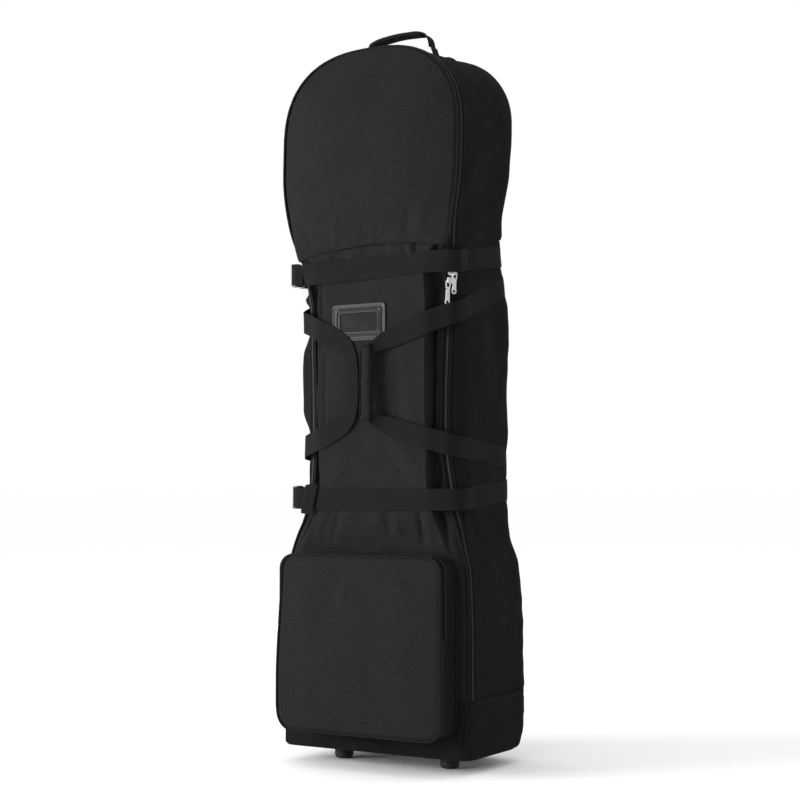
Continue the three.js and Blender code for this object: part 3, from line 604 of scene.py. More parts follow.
def moulded(name, color, roughness, metallic=0.0, specular=0.5, coat=0.0, grain=900.0, depth=0.05, wear=0.12):
    """A hard material: fine surface grain, faint mottling, and edges rubbed lighter."""
    n = Nodes(name, color, roughness, metallic, specular, 0.0, coat)
    where = n.place()
    fine = n.noise(where, grain, 3)
    broad = n.noise(where, 45.0, 4)
    n.shade(broad, 0.14)
    edge = n.add("ShaderNodeNewGeometry").outputs["Pointiness"]
    n.shade(n.ramp(edge, From_Min=0.5, From_Max=0.6), wear)
    n.rough(broad, max(roughness - 0.06, 0.03), roughness + 0.08)
    n.bump(fine, depth, 0.6)
    return n.material


def leatherette(name, color, roughness):
    """Embossed pebbled leatherette."""
    n = Nodes(name, color, roughness, specular=0.2)
    where = n.place()
    cells = n.add("ShaderNodeTexVoronoi", feature="DISTANCE_TO_EDGE", Scale=900.0)
    n.link(where, cells.inputs["Vector"])
    soft = n.noise(where, 60.0, 4)
    n.shade(cells.outputs["Distance"], 0.10)
    n.shade(soft, 0.16)
    n.rough(soft, roughness - 0.07, roughness + 0.09)
    n.bump(cells.outputs["Distance"], 0.16, 0.7)
    return n.material


SHELL = woven("shell_cloth", (0.0124, 0.0124, 0.0131))
# gusset_cloth is the shell's cloth in a darker colour: painted shade for the sides, back, tub and pocket
# walls, which face away from the key light
SIDE_PAINTED_SHADE = woven("gusset_cloth", (0.0080, 0.0080, 0.0088))
LINING = woven("lining_cloth", (0.03, 0.03, 0.032), pitch=0.6, sheen=0.01, roughness=0.5, grain=0.06)
WEB = ribbed("webbing", (0.0095, 0.0095, 0.0101))
ZIP_TAPE = ribbed("zip_tape", (0.0085, 0.0085, 0.0092), pitch=1.3)
THREAD_MAT = moulded("thread", (0.015, 0.015, 0.016), 0.5, specular=0.06, grain=2500.0, depth=0.08)
PIPE = woven("bound_piping", (0.0105, 0.0105, 0.0112), pitch=0.8, sheen=0.015, roughness=0.62)
COIL = moulded("zip_coil", (0.009, 0.009, 0.0096), 0.38, specular=0.25)
NICKEL = moulded("nickel", (0.5, 0.49, 0.48), 0.26, metallic=1.0, grain=1500.0, depth=0.02, wear=0.03)
ACETAL = moulded("buckle_acetal", (0.009, 0.009, 0.0095), 0.24, coat=0.2, depth=0.03, wear=0.3)
HARD = moulded("moulded_black", (0.012, 0.012, 0.0125), 0.45, depth=0.09, wear=0.25)
TYRE = moulded("polyurethane", (0.014, 0.014, 0.014), 0.55, depth=0.12, wear=0.3)
RUBBER = moulded("foot_rubber", (0.011, 0.011, 0.011), 0.7, specular=0.3, depth=0.2, wear=0.2)
STEEL = moulded("bearing_steel", (0.5, 0.5, 0.51), 0.3, metallic=1.0, depth=0.02)
BOARD = moulded("base_board", (0.02, 0.02, 0.021), 0.6, grain=300.0, depth=0.2)
LEATHER = leatherette("label_leatherette", (0.0125, 0.0125, 0.0131), 0.42)
VINYL = moulded("window_vinyl", (0.0065, 0.0065, 0.007), 0.33, specular=0.027, grain=25.0, depth=0.5,
                wear=0.02)


def dress(obj, body, slot_name, *nodes):
    """Rides a piece on a body and hides the CAD nodes that it stands for; slot_name is not used."""
    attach(obj, body)
    if nodes:
        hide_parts(*nodes)
    return obj


# ------------------------------------------------------------------ camera, light and floor
camera = add_object("camera", bpy.data.cameras.new("camera"))
camera.location = (1.5703, -2.5597, 0.4886)
camera.rotation_euler = (math.radians(93.214), 0, math.radians(31.52))
camera.data.lens = 73.62
camera.data.sensor_width = 36
bpy.context.scene.camera = camera

world = bpy.data.worlds.new("studio")
bpy.context.scene.world = world
world.use_nodes = True
world.node_tree.nodes["Background"].inputs["Color"].default_value = (1, 1, 1, 1)
world.node_tree.nodes["Background"].inputs["Strength"].default_value = 1.0
bpy.context.scene.view_settings.view_transform = "Standard"


def area_light(name, place, target, size, power):
    data = bpy.data.lights.new(name, "AREA")
    data.shape, data.size, data.energy = "DISK", size, power
    obj = add_object(name, data)
    obj.location = place
    obj.rotation_euler = (Vector(target) - Vector(place)).to_track_quat("-Z", "Y").to_euler()


area_light("key", (-2.7, -2.7, 0.85), (0, 0, 0.7), 2.4, 265)

FLOOR_HALF = 400.0              # metres
floor_corners = [(x * FLOOR_HALF, y * FLOOR_HALF, -0.0005) for x, y in ((-1, -1), (1, -1), (1, 1), (-1, 1))]
floor_mesh = bpy.data.meshes.new("floor")
floor_mesh.from_pydata(floor_corners, [], [(0, 1, 2, 3)])
floor = add_object("floor", floor_mesh)
paper = Nodes("paper", (0.99, 0.99, 0.99), 0.9, specular=0.1)
floor.data.materials.append(paper.material)

# ------------------------------------------------------------------ front panel
# ridges and valleys of the lower front: from (x, z), to (x, z), height, width
FRONT_FOLDS = [
    ((-104, 915), (-106, 740), -2.2, 3), ((-116, 912), (-120, 830), 1.6, 5), ((-88, 915), (-86, 890), 2.0, 4),
    ((72, 925), (80, 868), -2.6, 3.5), ((88, 922), (84, 880), 2.6, 5), ((96, 926), (100, 880), -4.0, 5),
    ((-40, 918), (-44, 892), 1.4, 5), ((10, 922), (4, 896), -1.4, 4), ((44, 924), (50, 895), 1.6, 6),
    ((-96, 745), (-98, 560), -1.8, 4), ((44, 740), (34, 640), 1.2, 7), ((60, 735), (58, 620), -1.2, 9),
    ((-20, 560), (-100, 500), 2.2, 10), ((-10, 575), (-72, 530), -2.4, 8), ((36, 585), (104, 520), 2.4, 12),
    ((20, 560), (88, 500), -2.2, 12), ((70, 720), (92, 610), 1.4, 10), ((-70, 460), (-84, 396), -2.8, 6),
    ((-100, 455), (-122, 390), 2.2, 8), ((26, 452), (40, 408), -3.2, 7), ((48, 452), (58, 412), 3.0, 8),
    ((96, 456), (104, 398), -5.0, 5), ((112, 452), (128, 392), 3.4, 8), ((-30, 440), (70, 420), 2.6, 12),
    ((-60, 402), (20, 392), -2.2, 10), ((110, 400), (150, 376), 2.8, 9), ((-128, 420), (-150, 380), 2.2, 9),
]


def seam_lift(x):
    """How far the hood seam rises above its level, most near the middle."""
    t = x / 150
    return 9 - 14 * t**2 + 3.5 * t


FLAT_SHARE = 0.72               # share of the panel's columns that its flat middle takes
FRONT_COLS = 171
FRONT_ROWS = 230


def front_profile(s, u, z):
    """x and y of the lower front across the panel, u from -1 to 1: flat, a sharp fold, then the zip strip."""
    t = np.abs(u)
    wide = s.edge - 0.2 - s.flat
    waist = ease((s.setback - 8) / 14)
    k = np.clip((t - FLAT_SHARE) / (1 - FLAT_SHARE), 0, 1)
    steps = np.array([0, 0.06, 0.13, 0.22, 0.34, 0.55, 1.0])
    steep = np.interp(k, steps, [0, 0.02, 0.05, 0.10, 0.22, 0.5, 1])
    deep = math.exp(-((z - 858) / 24) ** 2) + math.exp(-((z - 524) / 26) ** 2)
    drop = np.interp(k, steps, [-0.03, 0.40, 1.05, 1.26, 1.24 + 0.1 * deep, 0.86 + 0.5 * deep, 1])
    beside = s.flat + wide * (waist * steep + (1 - waist) * k)
    x = np.where(t < FLAT_SHARE, s.flat * t / FLAT_SHARE, beside)
    y = s.front + s.setback * (waist * drop + (1 - waist) * k**1.6)
    return np.sign(u) * x, y


def front_cloth():
    """The front below the hood: flat middle, sunken edges, gathers under the seam and folds."""
    middle = FRONT_COLS // 2
    u = np.linspace(-1, 1, FRONT_COLS)
    outer = []
    for z in np.linspace(TUB_TOP, HOOD_SEAM, FRONT_ROWS):
        x, y = front_profile(section(float(z)), u, z)
        outer.append(np.stack([x, y, z + 0 * x], -1))
    outer = np.array(outer)
    for half in (outer[:, :middle + 1], outer[:, middle:]):
        half[:, 1:-1] = (half[:, :-2] + 2 * half[:, 1:-1] + half[:, 2:]) / 4
    x, z = outer[..., 0].copy(), outer[..., 2].copy()
    folds = creases(x, z, FRONT_FOLDS)
    gathers = 1.3 * np.sin(x / 9.5 + 1.6 * np.sin(x / 31)) * near(z, HOOD_SEAM, 26)
    low = 1.1 * np.sin(x / 15 + 2 * np.sin(x / 47)) * near(z, 448, 20)
    relief = folds + gathers + low + 2.0 * drift(x, z, 150, 4) + 0.6 * drift(x, z, 46, 9)
    relief = relief * ease((1 - np.abs(u)) / 0.12)[None]
    above_pocket = ease((z - 366) / 30)
    groove = 2.2 * near(z, HOOD_SEAM, 2.6)
    outer[..., 1] -= relief * (0.15 + 0.85 * above_pocket) - groove
    outer[..., 2] += seam_lift(x) * ease((z - 850) / 71)
    step = np.hypot(np.diff(x, axis=1), np.diff(outer[..., 1], axis=1))
    girth = np.concatenate([np.zeros((len(x), 1)), np.cumsum(step, axis=1)], axis=1)
    uv = np.stack([girth - girth[:, middle:middle + 1], z], -1)
    inner = outer + np.array([0, CLOTH, 0])
    inner[..., 0] *= 0.995
    obj = shell("front_cloth", outer, inner, uv, [SHELL, LINING])
    on_top = np.array([0, -0.35, 0])
    for row in (FRONT_ROWS - 12, FRONT_ROWS - 6):
        stitch("case", outer[row, 22:-22] + on_top)
    for col in (4, FRONT_COLS - 5):
        stitch("case", outer[2:-8, col] + on_top)
    dress(obj, "case", "shell_fabric", "front_panel")


# ------------------------------------------------------------------ hood
def arch_rows(count, inset):
    """Stations up the arch's right half, with their half-width and height moved inwards."""
    for t in np.linspace(0, 1, count)[1:]:
        share = min(max(math.cos(t * math.pi / 2) ** 0.9, 0.0), 1.0)
        st = arch_station(math.acos(share ** (ARCH_POWER / 2)))
        yield st, max(st.x - inset * st.nx, 0.6), st.z - inset * st.nz


HOOD_FOLDS = [
    ((-70, 925), (-60, 985), 2.0, 9), ((20, 925), (26, 960), -1.5, 6), ((78, 925), (96, 990), -2.2, 8),
    ((104, 928), (128, 1000), 2.4, 9), ((-120, 925), (-140, 985), -1.8, 8), ((-20, 925), (-16, 955), 1.4, 7),
]


def hood_cloth():
    """The hood's front: domed, with its outline on the arch."""
    rim = 0.3
    rows = [(section(float(z)).edge - rim, z) for z in np.linspace(HOOD_SEAM, ARCH_START, 60)]
    rows += [(half, z) for _, half, z in arch_rows(76, rim)]
    u = np.linspace(-1, 1, 121)
    u = np.sign(u) * (1 - (1 - np.abs(u)) ** 1.25)
    outer = []
    for half, z in rows:
        dome = 25 * (1 - np.abs(u) ** 2.8) * ease((ARCH_TOP + 6 - z) / 150) * ease((z - HOOD_SEAM + 40) / 140)
        from_edge = np.minimum(half * (1 - np.abs(u)), abs(ARCH_TOP - z) + 4)
        sunk = 3.0 * near(from_edge, 0, 4.5)
        outer.append(np.stack([u * half, section(float(z)).front + 2 - dome + sunk, z + 0 * u], -1))
    outer = np.array(outer)
    x, z = outer[..., 0].copy(), outer[..., 2].copy()
    relief = 1.5 * drift(x, z, 190, 21) + 0.35 * drift(x, z, 60, 22) + creases(x, z, HOOD_FOLDS)
    relief += 1.0 * np.sin(x / 10 + 1.5 * np.sin(x / 37)) * near(z, HOOD_SEAM, 15)
    outer[..., 1] += 2.4 * near(z, HOOD_SEAM, 2.4) - relief * ease((1 - np.abs(u)) / 0.1)[None]
    outer[..., 2] += seam_lift(x) * ease((HOOD_SEAM + 90 - z) / 90) + 0.5
    obj = shell("hood_cloth", outer, outer + np.array([0, CLOTH, 0]), np.stack([x, z], -1), [SHELL, LINING])
    stitch("hood", outer[2, 4:-4] + np.array([0, -0.35, 0.6]))
    dress(obj, "hood", "shell_fabric", "hood_panel")


# ------------------------------------------------------------------ gussets, back and zip
# ridges and valleys of the gussets, over (distance from the sewn edge, seam height)
SIDE_FOLDS = [
    ((40, 900), (150, 840), 2.0, 12), ((30, 870), (60, 790), -1.6, 9), ((60, 560), (170, 500), 1.8, 14),
    ((50, 600), (90, 660), 1.6, 14), ((30, 470), (60, 380), -2.2, 11), ((50, 440), (150, 360), 2.4, 16),
    ((120, 420), (190, 350), -2.0, 14), ((40, 350), (60, 240), 1.4, 16), ((90, 960), (190, 1010), 1.5, 18),
    ((30, 990), (60, 1080), 1.2, 14), ((150, 800), (170, 640), -1.8, 16), ((100, 760), (110, 640), 1.6, 20),
    ((46, 1345), (190, 1325), -6.5, 22),
]


def drawn_in(d, v):
    """How far the webbing round the body pulls the cloth in, over the gusset's own coordinates."""
    total = 0
    for strap in STRAPS:
        total = total + 5.5 * near(v, strap["z"], 25)
    for run in (UPPER_RUN, LOWER_RUN):
        at = np.interp(d + 150, [p[0] for p in run], [p[1] for p in run])
        total = total + 4.5 * near(v, at, 24)
    return total * ease((d - 24) / 20)


def swell_left(d, v):
    """How far the left side stands out between the straps, fullest towards the front."""
    tall = 16 * ease((v - 585) / 55) * ease((785 - v) / 45) + 10 * near(v, 425, 28)
    beside_strap = 20 * near(v, 842, 14) + 16 * near(v, 934, 17)
    tall = tall + beside_strap * near(d, 44, 26)
    return tall * near(d, 62, 46)


def gusset_cloth(name, path, lengths, seed, folds, body, node, cols=76, swell=None):
    """A gusset's cloth, from the zip to the back seam; lengths gives the noise its second coordinate."""
    outer, inner, uv = [], [], []
    for st, run in zip(path, path_run(path)):
        total = gusset_length(st)
        d = GUSSET_AT + (total - GUSSET_AT) * np.linspace(0, 1, cols) ** 0.9
        v = lengths(st, run)
        away = 1.6 * drift(d, v, 130, seed) + 0.5 * drift(d, v, 45, seed + 1) + creases(d, v, folds)
        if swell:
            away = away + swell(d, v)
        pull = drawn_in(d, v)
        away = away * ease((d - GUSSET_AT) / 26) * ease((total + 4 - d) / 22) * (1 - pull / 9) - pull
        away = away + 1.5 * near(d, GUSSET_AT + 1.6, 2.0) - 1.6 * near(v, TUB_TOP, 2.4)
        if v < ARCH_START:
            away = away - 2.0 * near(v, HOOD_SEAM, 2.6)
        outer.append(gusset(st, d, away))
        inner.append(gusset(st, d, away - CLOTH))
        uv.append(np.stack([d, v + 0 * d], -1))
    outer, inner = np.array(outer), np.array(inner)
    obj = shell(name, outer, inner, np.array(uv), [SIDE_PAINTED_SHADE, LINING])
    stitch(body, outer[:, 4] + (outer[:, 4] - inner[:, 4]) * 0.12)
    dress(obj, body, "gusset_fabric", node)


def hood_run(angle):
    """The distance along the hood's path, from its right end, to a station on the arch."""
    path = hood_path()
    st = arch_station(angle)
    away = [math.dist((st.x, st.y, st.z), (p.x, p.y, p.z)) for p in path]
    return path_run(path)[np.argmin(away)]


def back_cloth():
    """The back, and the part of it inside the arch above the hood seam."""
    heights = np.linspace(TUB_TOP, HOOD_SEAM, 120)
    u = np.linspace(-1, 1, 61)
    free = ease((1 - np.abs(u)) / 0.12)[None]
    outer = []
    for z in heights:
        s = section(float(z))
        x = u * (s.side - BACK_RADIUS)
        outer.append(np.stack([x, s.back + 0 * x, z + s.rise + 0 * x], -1))
    outer = np.array(outer)
    x, z = outer[..., 0].copy(), outer[..., 2].copy()
    pull = drawn_in(np.full(x.shape, 250.0), heights[:, None] + 0 * x)
    outer[..., 1] += (2.2 * drift(x, z, 160, 31) + 0.7 * drift(x, z, 55, 32)) * free * (1 - pull / 9) - pull
    outer[..., 1] -= 1.6 * near((1 - np.abs(u)) * 120, 0, 2.5)[None]
    thick = np.array([0, CLOTH, 0])
    obj = shell("back_cloth", outer, outer - thick, np.stack([x, z], -1), [SIDE_PAINTED_SHADE, LINING])
    dress(obj, "case", "gusset_fabric", "back_panel")
    for col in (2, 58):
        stitch("case", outer[:, col] + np.array([0, 0.35, 0]))
    rows = []
    for z in np.linspace(HOOD_SEAM, ARCH_START, 36):
        s = section(float(z))
        rows.append((s.side - BACK_RADIUS, z + s.rise, s.back))
    rows += [(half, z + st.rise, st.back) for st, half, z in arch_rows(46, BACK_RADIUS)]
    outer = np.array([np.stack([u * half, back + 0 * u, z + 0 * u], -1) for half, z, back in rows])
    x, z = outer[..., 0].copy(), outer[..., 2].copy()
    outer[..., 1] += (2.0 * drift(x, z, 150, 33) + 0.5 * drift(x, z, 50, 34)) * free
    obj = shell("hood_back_cloth", outer, outer - thick, np.stack([x, z], -1), [SIDE_PAINTED_SHADE, LINING])
    dress(obj, "case", "gusset_fabric", "hood_back")


def teeth(count, low, extra):
    """Radii along a coil: every third point stands out as a tooth."""
    return low + extra * (np.arange(count) % 3 == 0)


def tape_and_coil(name, path, start, end, coil_at, body, nodes, lip_at):
    """One half of the zip: woven tape with a stitched lip, and its half of the coil."""
    d = np.linspace(start, end, 9)
    lip = 0.8 * near(d, lip_at, 1.1)
    outer = np.array([gusset(st, d, lip) for st in path])
    inner = np.array([gusset(st, d, -1.2) for st in path])
    uv = np.stack(np.broadcast_arrays(path_run(path)[:, None], d[None]), -1)
    dress(shell(name, outer, inner, uv, [ZIP_TAPE]), body, "zip_tape", *nodes)
    line = resample(np.array([gusset(st, coil_at, 0.5)[0] for st in path]), 0.85)
    dress(tube(name + "_coil", line, teeth(len(line), 0.75, 0.5), COIL, sides=6), body, "zip_tape")


def piping(name, path, body, nodes):
    """Bound piping along the sewn edge of a path of stations."""
    line = [(st.x + st.nx * 0.8, st.y - 2.0, st.z + st.nz * 0.8) for st in path]
    line = resample(line, 4)
    radius = 2.1 * (1 + 0.03 * np.sin(np.arange(len(line)) * 0.9))
    dress(tube(name, line, radius, PIPE, sides=12), body, "piping", *nodes)


# ------------------------------------------------------------------ tub
LEFT_SPREAD = 11                # how much further out the tub's front left corner stands than its right one
WHEEL = {"x": 105, "y": 84, "radius": 27, "half_width": 11}
WELL = {"half_x": 20.5, "half_y": 35.5, "height": 60}
FOOT = {"x": 112, "y": -33}


def tub_outline(z, inset):
    """One level of the tub, closed, evenly spaced and with softened corners."""
    s = section(float(z))
    low = max(TUB_BOTTOM + BOTTOM_RADIUS - z, 0)
    back = s.back - BOTTOM_RADIUS + math.sqrt(max((BOTTOM_RADIUS - inset) ** 2 - low**2, 0))
    front, side, corner = s.front + inset, s.side - inset, BACK_RADIUS - inset
    half = [(0, front), (s.flat - inset, front), (s.edge - inset, front + s.setback),
            (side, front + s.setback + 20), (side, back - corner)]
    half += [(side - corner * (1 - math.cos(q)), back - corner * (1 - math.sin(q)))
             for q in np.linspace(0, math.pi / 2, 9)[1:]]
    half.append((0, back))
    left = []
    for x, y in half[1:-1][::-1]:
        on_front_corner = y < front + s.setback + 1 and x > 100
        left.append((-x - (LEFT_SPREAD if on_front_corner else 0), y))
    even = resample(np.array(half + left + half[:1], float), 5)
    t = np.linspace(0, len(even) - 1, 217)[:-1]
    return soften(along_line(t, np.arange(len(even)), even), 1, closed=True)


TUB_FOLDS = [
    ((-150, 60), (-40, 48), 3.0, 8), ((-60, 66), (60, 52), -2.6, 9), ((-160, 96), (-120, 44), 2.4, 9),
    ((20, 60), (120, 42), 2.6, 9), ((100, 70), (160, 44), -2.4, 10), ((-20, 44), (60, 36), 2.0, 6),
]


def tub_cloth():
    """The tub round the base: bottom, rounded edge and walls, with wells for the wheels."""
    radius = 7
    rings = []
    base = tub_outline(TUB_BOTTOM, 3)
    for share in np.linspace(0.02, 0.97, 14):
        rings.append((base * share, TUB_BOTTOM))
    for q in np.linspace(0, math.pi / 2, 6):
        z = TUB_BOTTOM + radius * (1 - math.cos(q))
        rings.append((tub_outline(z, radius * (1 - math.sin(q)) * 0.6), z))
    for z in np.linspace(TUB_BOTTOM + radius + 2, TUB_TOP, 30):
        rings.append((tub_outline(z, 0), z))
    outer = np.array([np.column_stack([ring, np.full(len(ring), z)]) for ring, z in rings])
    flat = outer.copy()
    x, y, z = (flat[..., i] for i in range(3))
    wall = ease((z - TUB_BOTTOM - 2) / 10) * ease((TUB_TOP - z) / 14)
    folds = creases(x, z, TUB_FOLDS) * ease((-y - 85) / 20)
    push = (folds + 1.5 * drift(x + y, z * 1.6, 90, 41) + 0.5 * drift(x + y, z * 2, 35, 42)) * wall
    side, face = np.abs(x / 190) ** 6, np.abs(y / 120) ** 6
    total = side + face + 1e-6
    out_x, out_y = np.sign(x) * side / total, np.sign(y) * face / total
    outer[..., 0] += push * out_x
    outer[..., 1] += push * out_y
    inner = outer.copy()
    inner[..., 0] -= CLOTH * out_x
    inner[..., 1] -= CLOTH * out_y
    inner[..., 2] += np.where(z < TUB_BOTTOM + 4, CLOTH, 0)
    girth = np.cumsum(np.linalg.norm(np.diff(flat[-1], axis=0, append=flat[-1][:1]), axis=1))
    uv = np.stack(np.broadcast_arrays(girth[None], z), -1)
    obj = shell("tub_cloth", outer, inner, uv, [SIDE_PAINTED_SHADE, LINING], wrap=True)
    for sign in (-1, 1):
        middle = sign * WHEEL["x"]
        well = (middle - WELL["half_x"], middle + WELL["half_x"], WHEEL["y"] - WELL["half_y"],
                WHEEL["y"] + WELL["half_y"], 0, WELL["height"])
        cutter = boxed("cutter", [well], HARD, 0.1, 1)
        modify(obj, "BOOLEAN", operation="DIFFERENCE", object=cutter, solver="EXACT")
        bake(obj)
        bpy.data.objects.remove(cutter)
    dress(obj, "case", "gusset_fabric", "base_tub")
    stitch("case", outer[-3] + np.column_stack([np.sign(x[-3]) * 0.3, np.sign(y[-3]) * 0.3, 0 * x[-3]]))
    s = section(80.0)
    for label, bead_x, forward in (("right", s.edge - 3.5, 3.6), ("left", 3.5 - s.edge - 8, 2.6)):
        post = [(bead_x, s.front + s.setback - forward, h) for h in np.linspace(31, TUB_TOP - 1, 24)]
        dress(tube(f"tub_bead_{label}", post, 1.9, PIPE), "case", "piping")


# ------------------------------------------------------------------ pocket
POCKET = {"half": 170, "bottom": 66, "top": 376, "corner": 26, "front": -169, "split": -151, "back": -114}
POCKET_HINGE = 235


POCKET_MIDDLE = (POCKET["bottom"] + POCKET["top"]) / 2


def rounded_outline(half, bottom, top, corner, count=280):
    """A closed rounded rectangle in X-Z, evenly spaced, starting at the middle of its bottom."""
    points = [(0, bottom)]
    for cx, cz, start in ((half - corner, bottom + corner, -90), (half - corner, top - corner, 0),
                          (corner - half, top - corner, 90), (corner - half, bottom + corner, 180)):
        angles = np.radians(np.linspace(start, start + 90, 12))
        points += [(cx + corner * math.cos(a), cz + corner * math.sin(a)) for a in angles]
    points = np.array(points + points[:1], float)
    s = travelled(points)
    t = np.linspace(0, s[-1], count + 1)[:-1]
    return along_line(t, s, points), t


def ring_at(outline, y):
    return np.column_stack([outline[:, 0], np.full(len(outline), y), outline[:, 1]])


def lean_in(points):
    """The pocket's front edge leans in at its upper left and its lower left."""
    ahead = np.clip((POCKET["split"] - points[..., 1]) / 18, 0, 1)
    left = np.clip(-points[..., 0] / POCKET["half"], 0, 1)
    amount = 3 + 11 * ease((points[..., 2] - 150) / 226) + 5 * ease((112 - points[..., 2]) / 46)
    points[..., 0] += ahead * left * amount
    return points


POCKET_FOLDS = [
    ((-60, 320), (-20, 260), -1.6, 9), ((-20, 330), (-30, 280), 1.4, 7), ((90, 352), (150, 300), -1.6, 12),
    ((-150, 350), (-110, 300), 1.6, 14), ((100, 90), (150, 130), 1.8, 12), ((-140, 84), (-60, 110), -1.4, 14),
    ((20, 200), (50, 120), -1.2, 14), ((-110, 220), (-90, 130), 1.2, 16),
]


POCKET_FACE_RINGS = 55          # rings of the pocket cover before its walls begin


def pocket_outline(grow, corner=0, count=280):
    """The pocket's outline and the distance along it, grown on all sides."""
    return rounded_outline(POCKET["half"] + grow, POCKET["bottom"] - grow, POCKET["top"] + grow,
                           POCKET["corner"] + corner, count)


def thin_in(points):
    """The inner face of a pocket wall: its outline made slightly smaller."""
    middle = np.array([0, 0, POCKET_MIDDLE])
    return (points - middle) * np.array([0.984, 1, 0.983]) + middle


def close_line(line):
    return np.concatenate([line, line[:2]])


def pocket_cover():
    """The pocket's padded face and the front half of its walls, in one piece."""
    p = POCKET
    outline, arc = pocket_outline(0)
    outer, uv = [], []
    for share in np.concatenate([np.linspace(0, 0.9, 46), np.linspace(0.915, 0.985, 9)]):
        x, z = outline[:, 0] * share, POCKET_MIDDLE + (outline[:, 1] - POCKET_MIDDLE) * share
        crown = 6 * (1 - np.abs(x / p["half"]) ** 4) * (1 - np.abs((z - POCKET_MIDDLE) / 155) ** 4)
        relief = creases(x, z, POCKET_FOLDS) + 1.2 * drift(x, z, 120, 51) + 0.35 * drift(x, z, 38, 52)
        relief = relief * ease((1 - share) / 0.12)
        sink = 1.6 * near((1 - share) * 160, 0, 4)
        outer.append(np.column_stack([x, p["front"] - crown - relief + sink, z]))
        uv.append(np.column_stack([x, z]))
    for deep in np.linspace(0, 1, 9):
        y = p["front"] + 1.5 + (p["split"] - 0.4 - p["front"] - 1.5) * deep
        outer.append(ring_at(pocket_outline(-0.8 * math.sin(deep * math.pi))[0], y))
        uv.append(np.column_stack([arc + 900, np.full(len(arc), y)]))
    outer = np.array(outer)
    inner = outer.copy()
    face = POCKET_FACE_RINGS
    inner[:face, :, 1] += 2.6
    inner[face:] = thin_in(outer[face:])
    inner[face, :, 1] = outer[face, :, 1] + 1.4
    obj = shell("pocket_cover", lean_in(outer), lean_in(inner), np.array(uv), [SHELL, LINING], wrap=True,
                weld=True)
    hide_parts("pocket_front", "pocket_flap")
    line = lean_in(ring_at(pocket_outline(0.9, 1, 320)[0], p["front"] + 0.3))
    edge = tube("pocket_piping", close_line(line), 2.0, PIPE, sides=12)
    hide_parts("pocket_piping_front", "pocket_piping_flap")
    for piece in (obj, edge):
        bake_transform(piece)


def pocket_walls():
    """The rear half of the pocket's walls, with the zip round its upper part."""
    p = POCKET
    arc = pocket_outline(0)[1]
    outer, uv = [], []
    for deep in np.linspace(0, 1, 14):
        y = p["split"] + 0.4 + (p["back"] + 1.5 - p["split"] - 0.4) * deep
        wobble = 1.2 * drift(arc, y, 70, 61) * math.sin(deep * math.pi)
        ring = ring_at(pocket_outline(-1.6 * math.sin(deep * math.pi))[0], y)
        ring[:, 0] += wobble * np.clip(ring[:, 0] / 60, -1, 1)
        ring[:, 2] += wobble * np.clip((ring[:, 2] - POCKET_MIDDLE) / 60, -1, 1)
        if deep == 1:
            ring[:, 1] = [max(section(float(z)).front - 0.6, y) for z in ring[:, 2]]
        outer.append(ring)
        uv.append(np.column_stack([arc, np.full(len(arc), y)]))
    outer = np.array(outer)
    obj = shell("pocket_walls", outer, thin_in(outer), np.array(uv), [SIDE_PAINTED_SHADE, LINING], wrap=True)
    dress(obj, "case", "shell_fabric", "pocket_rear")
    line = ring_at(pocket_outline(1.2, 1, 320)[0], p["back"] + 0.5)
    dress(tube("pocket_base_piping", close_line(line), 1.5, PIPE, sides=12), "case", "piping")
    upper = pocket_outline(1.0, 1, 900)[0]
    upper = upper[upper[:, 1] > POCKET_HINGE + 3]
    start = int(np.argmax(np.linalg.norm(np.diff(upper, axis=0), axis=1) > 5)) + 1
    upper = np.roll(upper, -start, axis=0) if start > 1 else upper
    tape_uv = np.stack(np.broadcast_arrays(np.arange(len(upper)) * 1.0, np.arange(4)[:, None] * 1.4), -1)
    for label, body, low, coil in (("case", "case", 0.6, 0.9), ("flap", "pocket_flap", -4.8, -0.9)):
        line = resample(ring_at(upper, p["split"] + coil), 0.9)
        coil_teeth = tube(f"pocket_coil_{label}", line, teeth(len(line), 0.7, 0.45), COIL, sides=6)
        dress(coil_teeth, body, "zip_tape")
        rows = np.array([ring_at(upper * np.array([grow, 1]), p["split"] + low + y)
                         for grow, y in ((1.0, 0.0), (1.006, 0.2), (1.006, 4.0), (1.0, 4.2))])
        obj = shell(f"pocket_tape_{label}", rows, rows * np.array([0.994, 1, 1]), tape_uv, [ZIP_TAPE])
        dress(obj, body, "zip_tape")


# ------------------------------------------------------------------ webbing
STRAP_CLEAR = 1.8
SIDE_CLEAR = -4.0               # webbing is drawn into the cloth round the sides and back
ZIP_CLEAR = 15
ZIP_SPAN = 6


@lru_cache(maxsize=None)
def hull_line(z):
    """The taut line that webbing takes at a height, from the front's middle to the back's."""
    s = section(float(z))
    st = side_station(float(z), 1)
    beside = gusset(st, COIL_AT - ZIP_SPAN, ZIP_CLEAR)[0]
    start = (s.flat + 1.5, s.front - STRAP_CLEAR)
    line = [(0, start[1]), start, (max(beside[0], start[0] + 1), min(beside[1], st.y - 6.5))]
    line += [tuple(gusset(st, distance, clear)[0][:2])
             for distance, clear in ((COIL_AT + ZIP_SPAN, ZIP_CLEAR), (28, 6), (38, 1.5))]
    side, corner, back = s.side + SIDE_CLEAR, BACK_RADIUS + SIDE_CLEAR, s.back + SIDE_CLEAR
    line.append((side, st.y + BULGE_DEPTH + 6))
    line += [(side - corner * (1 - math.cos(q)), back - corner * (1 - math.sin(q)))
             for q in np.linspace(0, math.pi / 2, 9)]
    line.append((0, back))
    length = travelled(np.array(line, float))[-1]
    smooth = soften(resample(line, 2.5), 3)
    return np.linspace(0, length, len(smooth)), smooth, heading(smooth), length


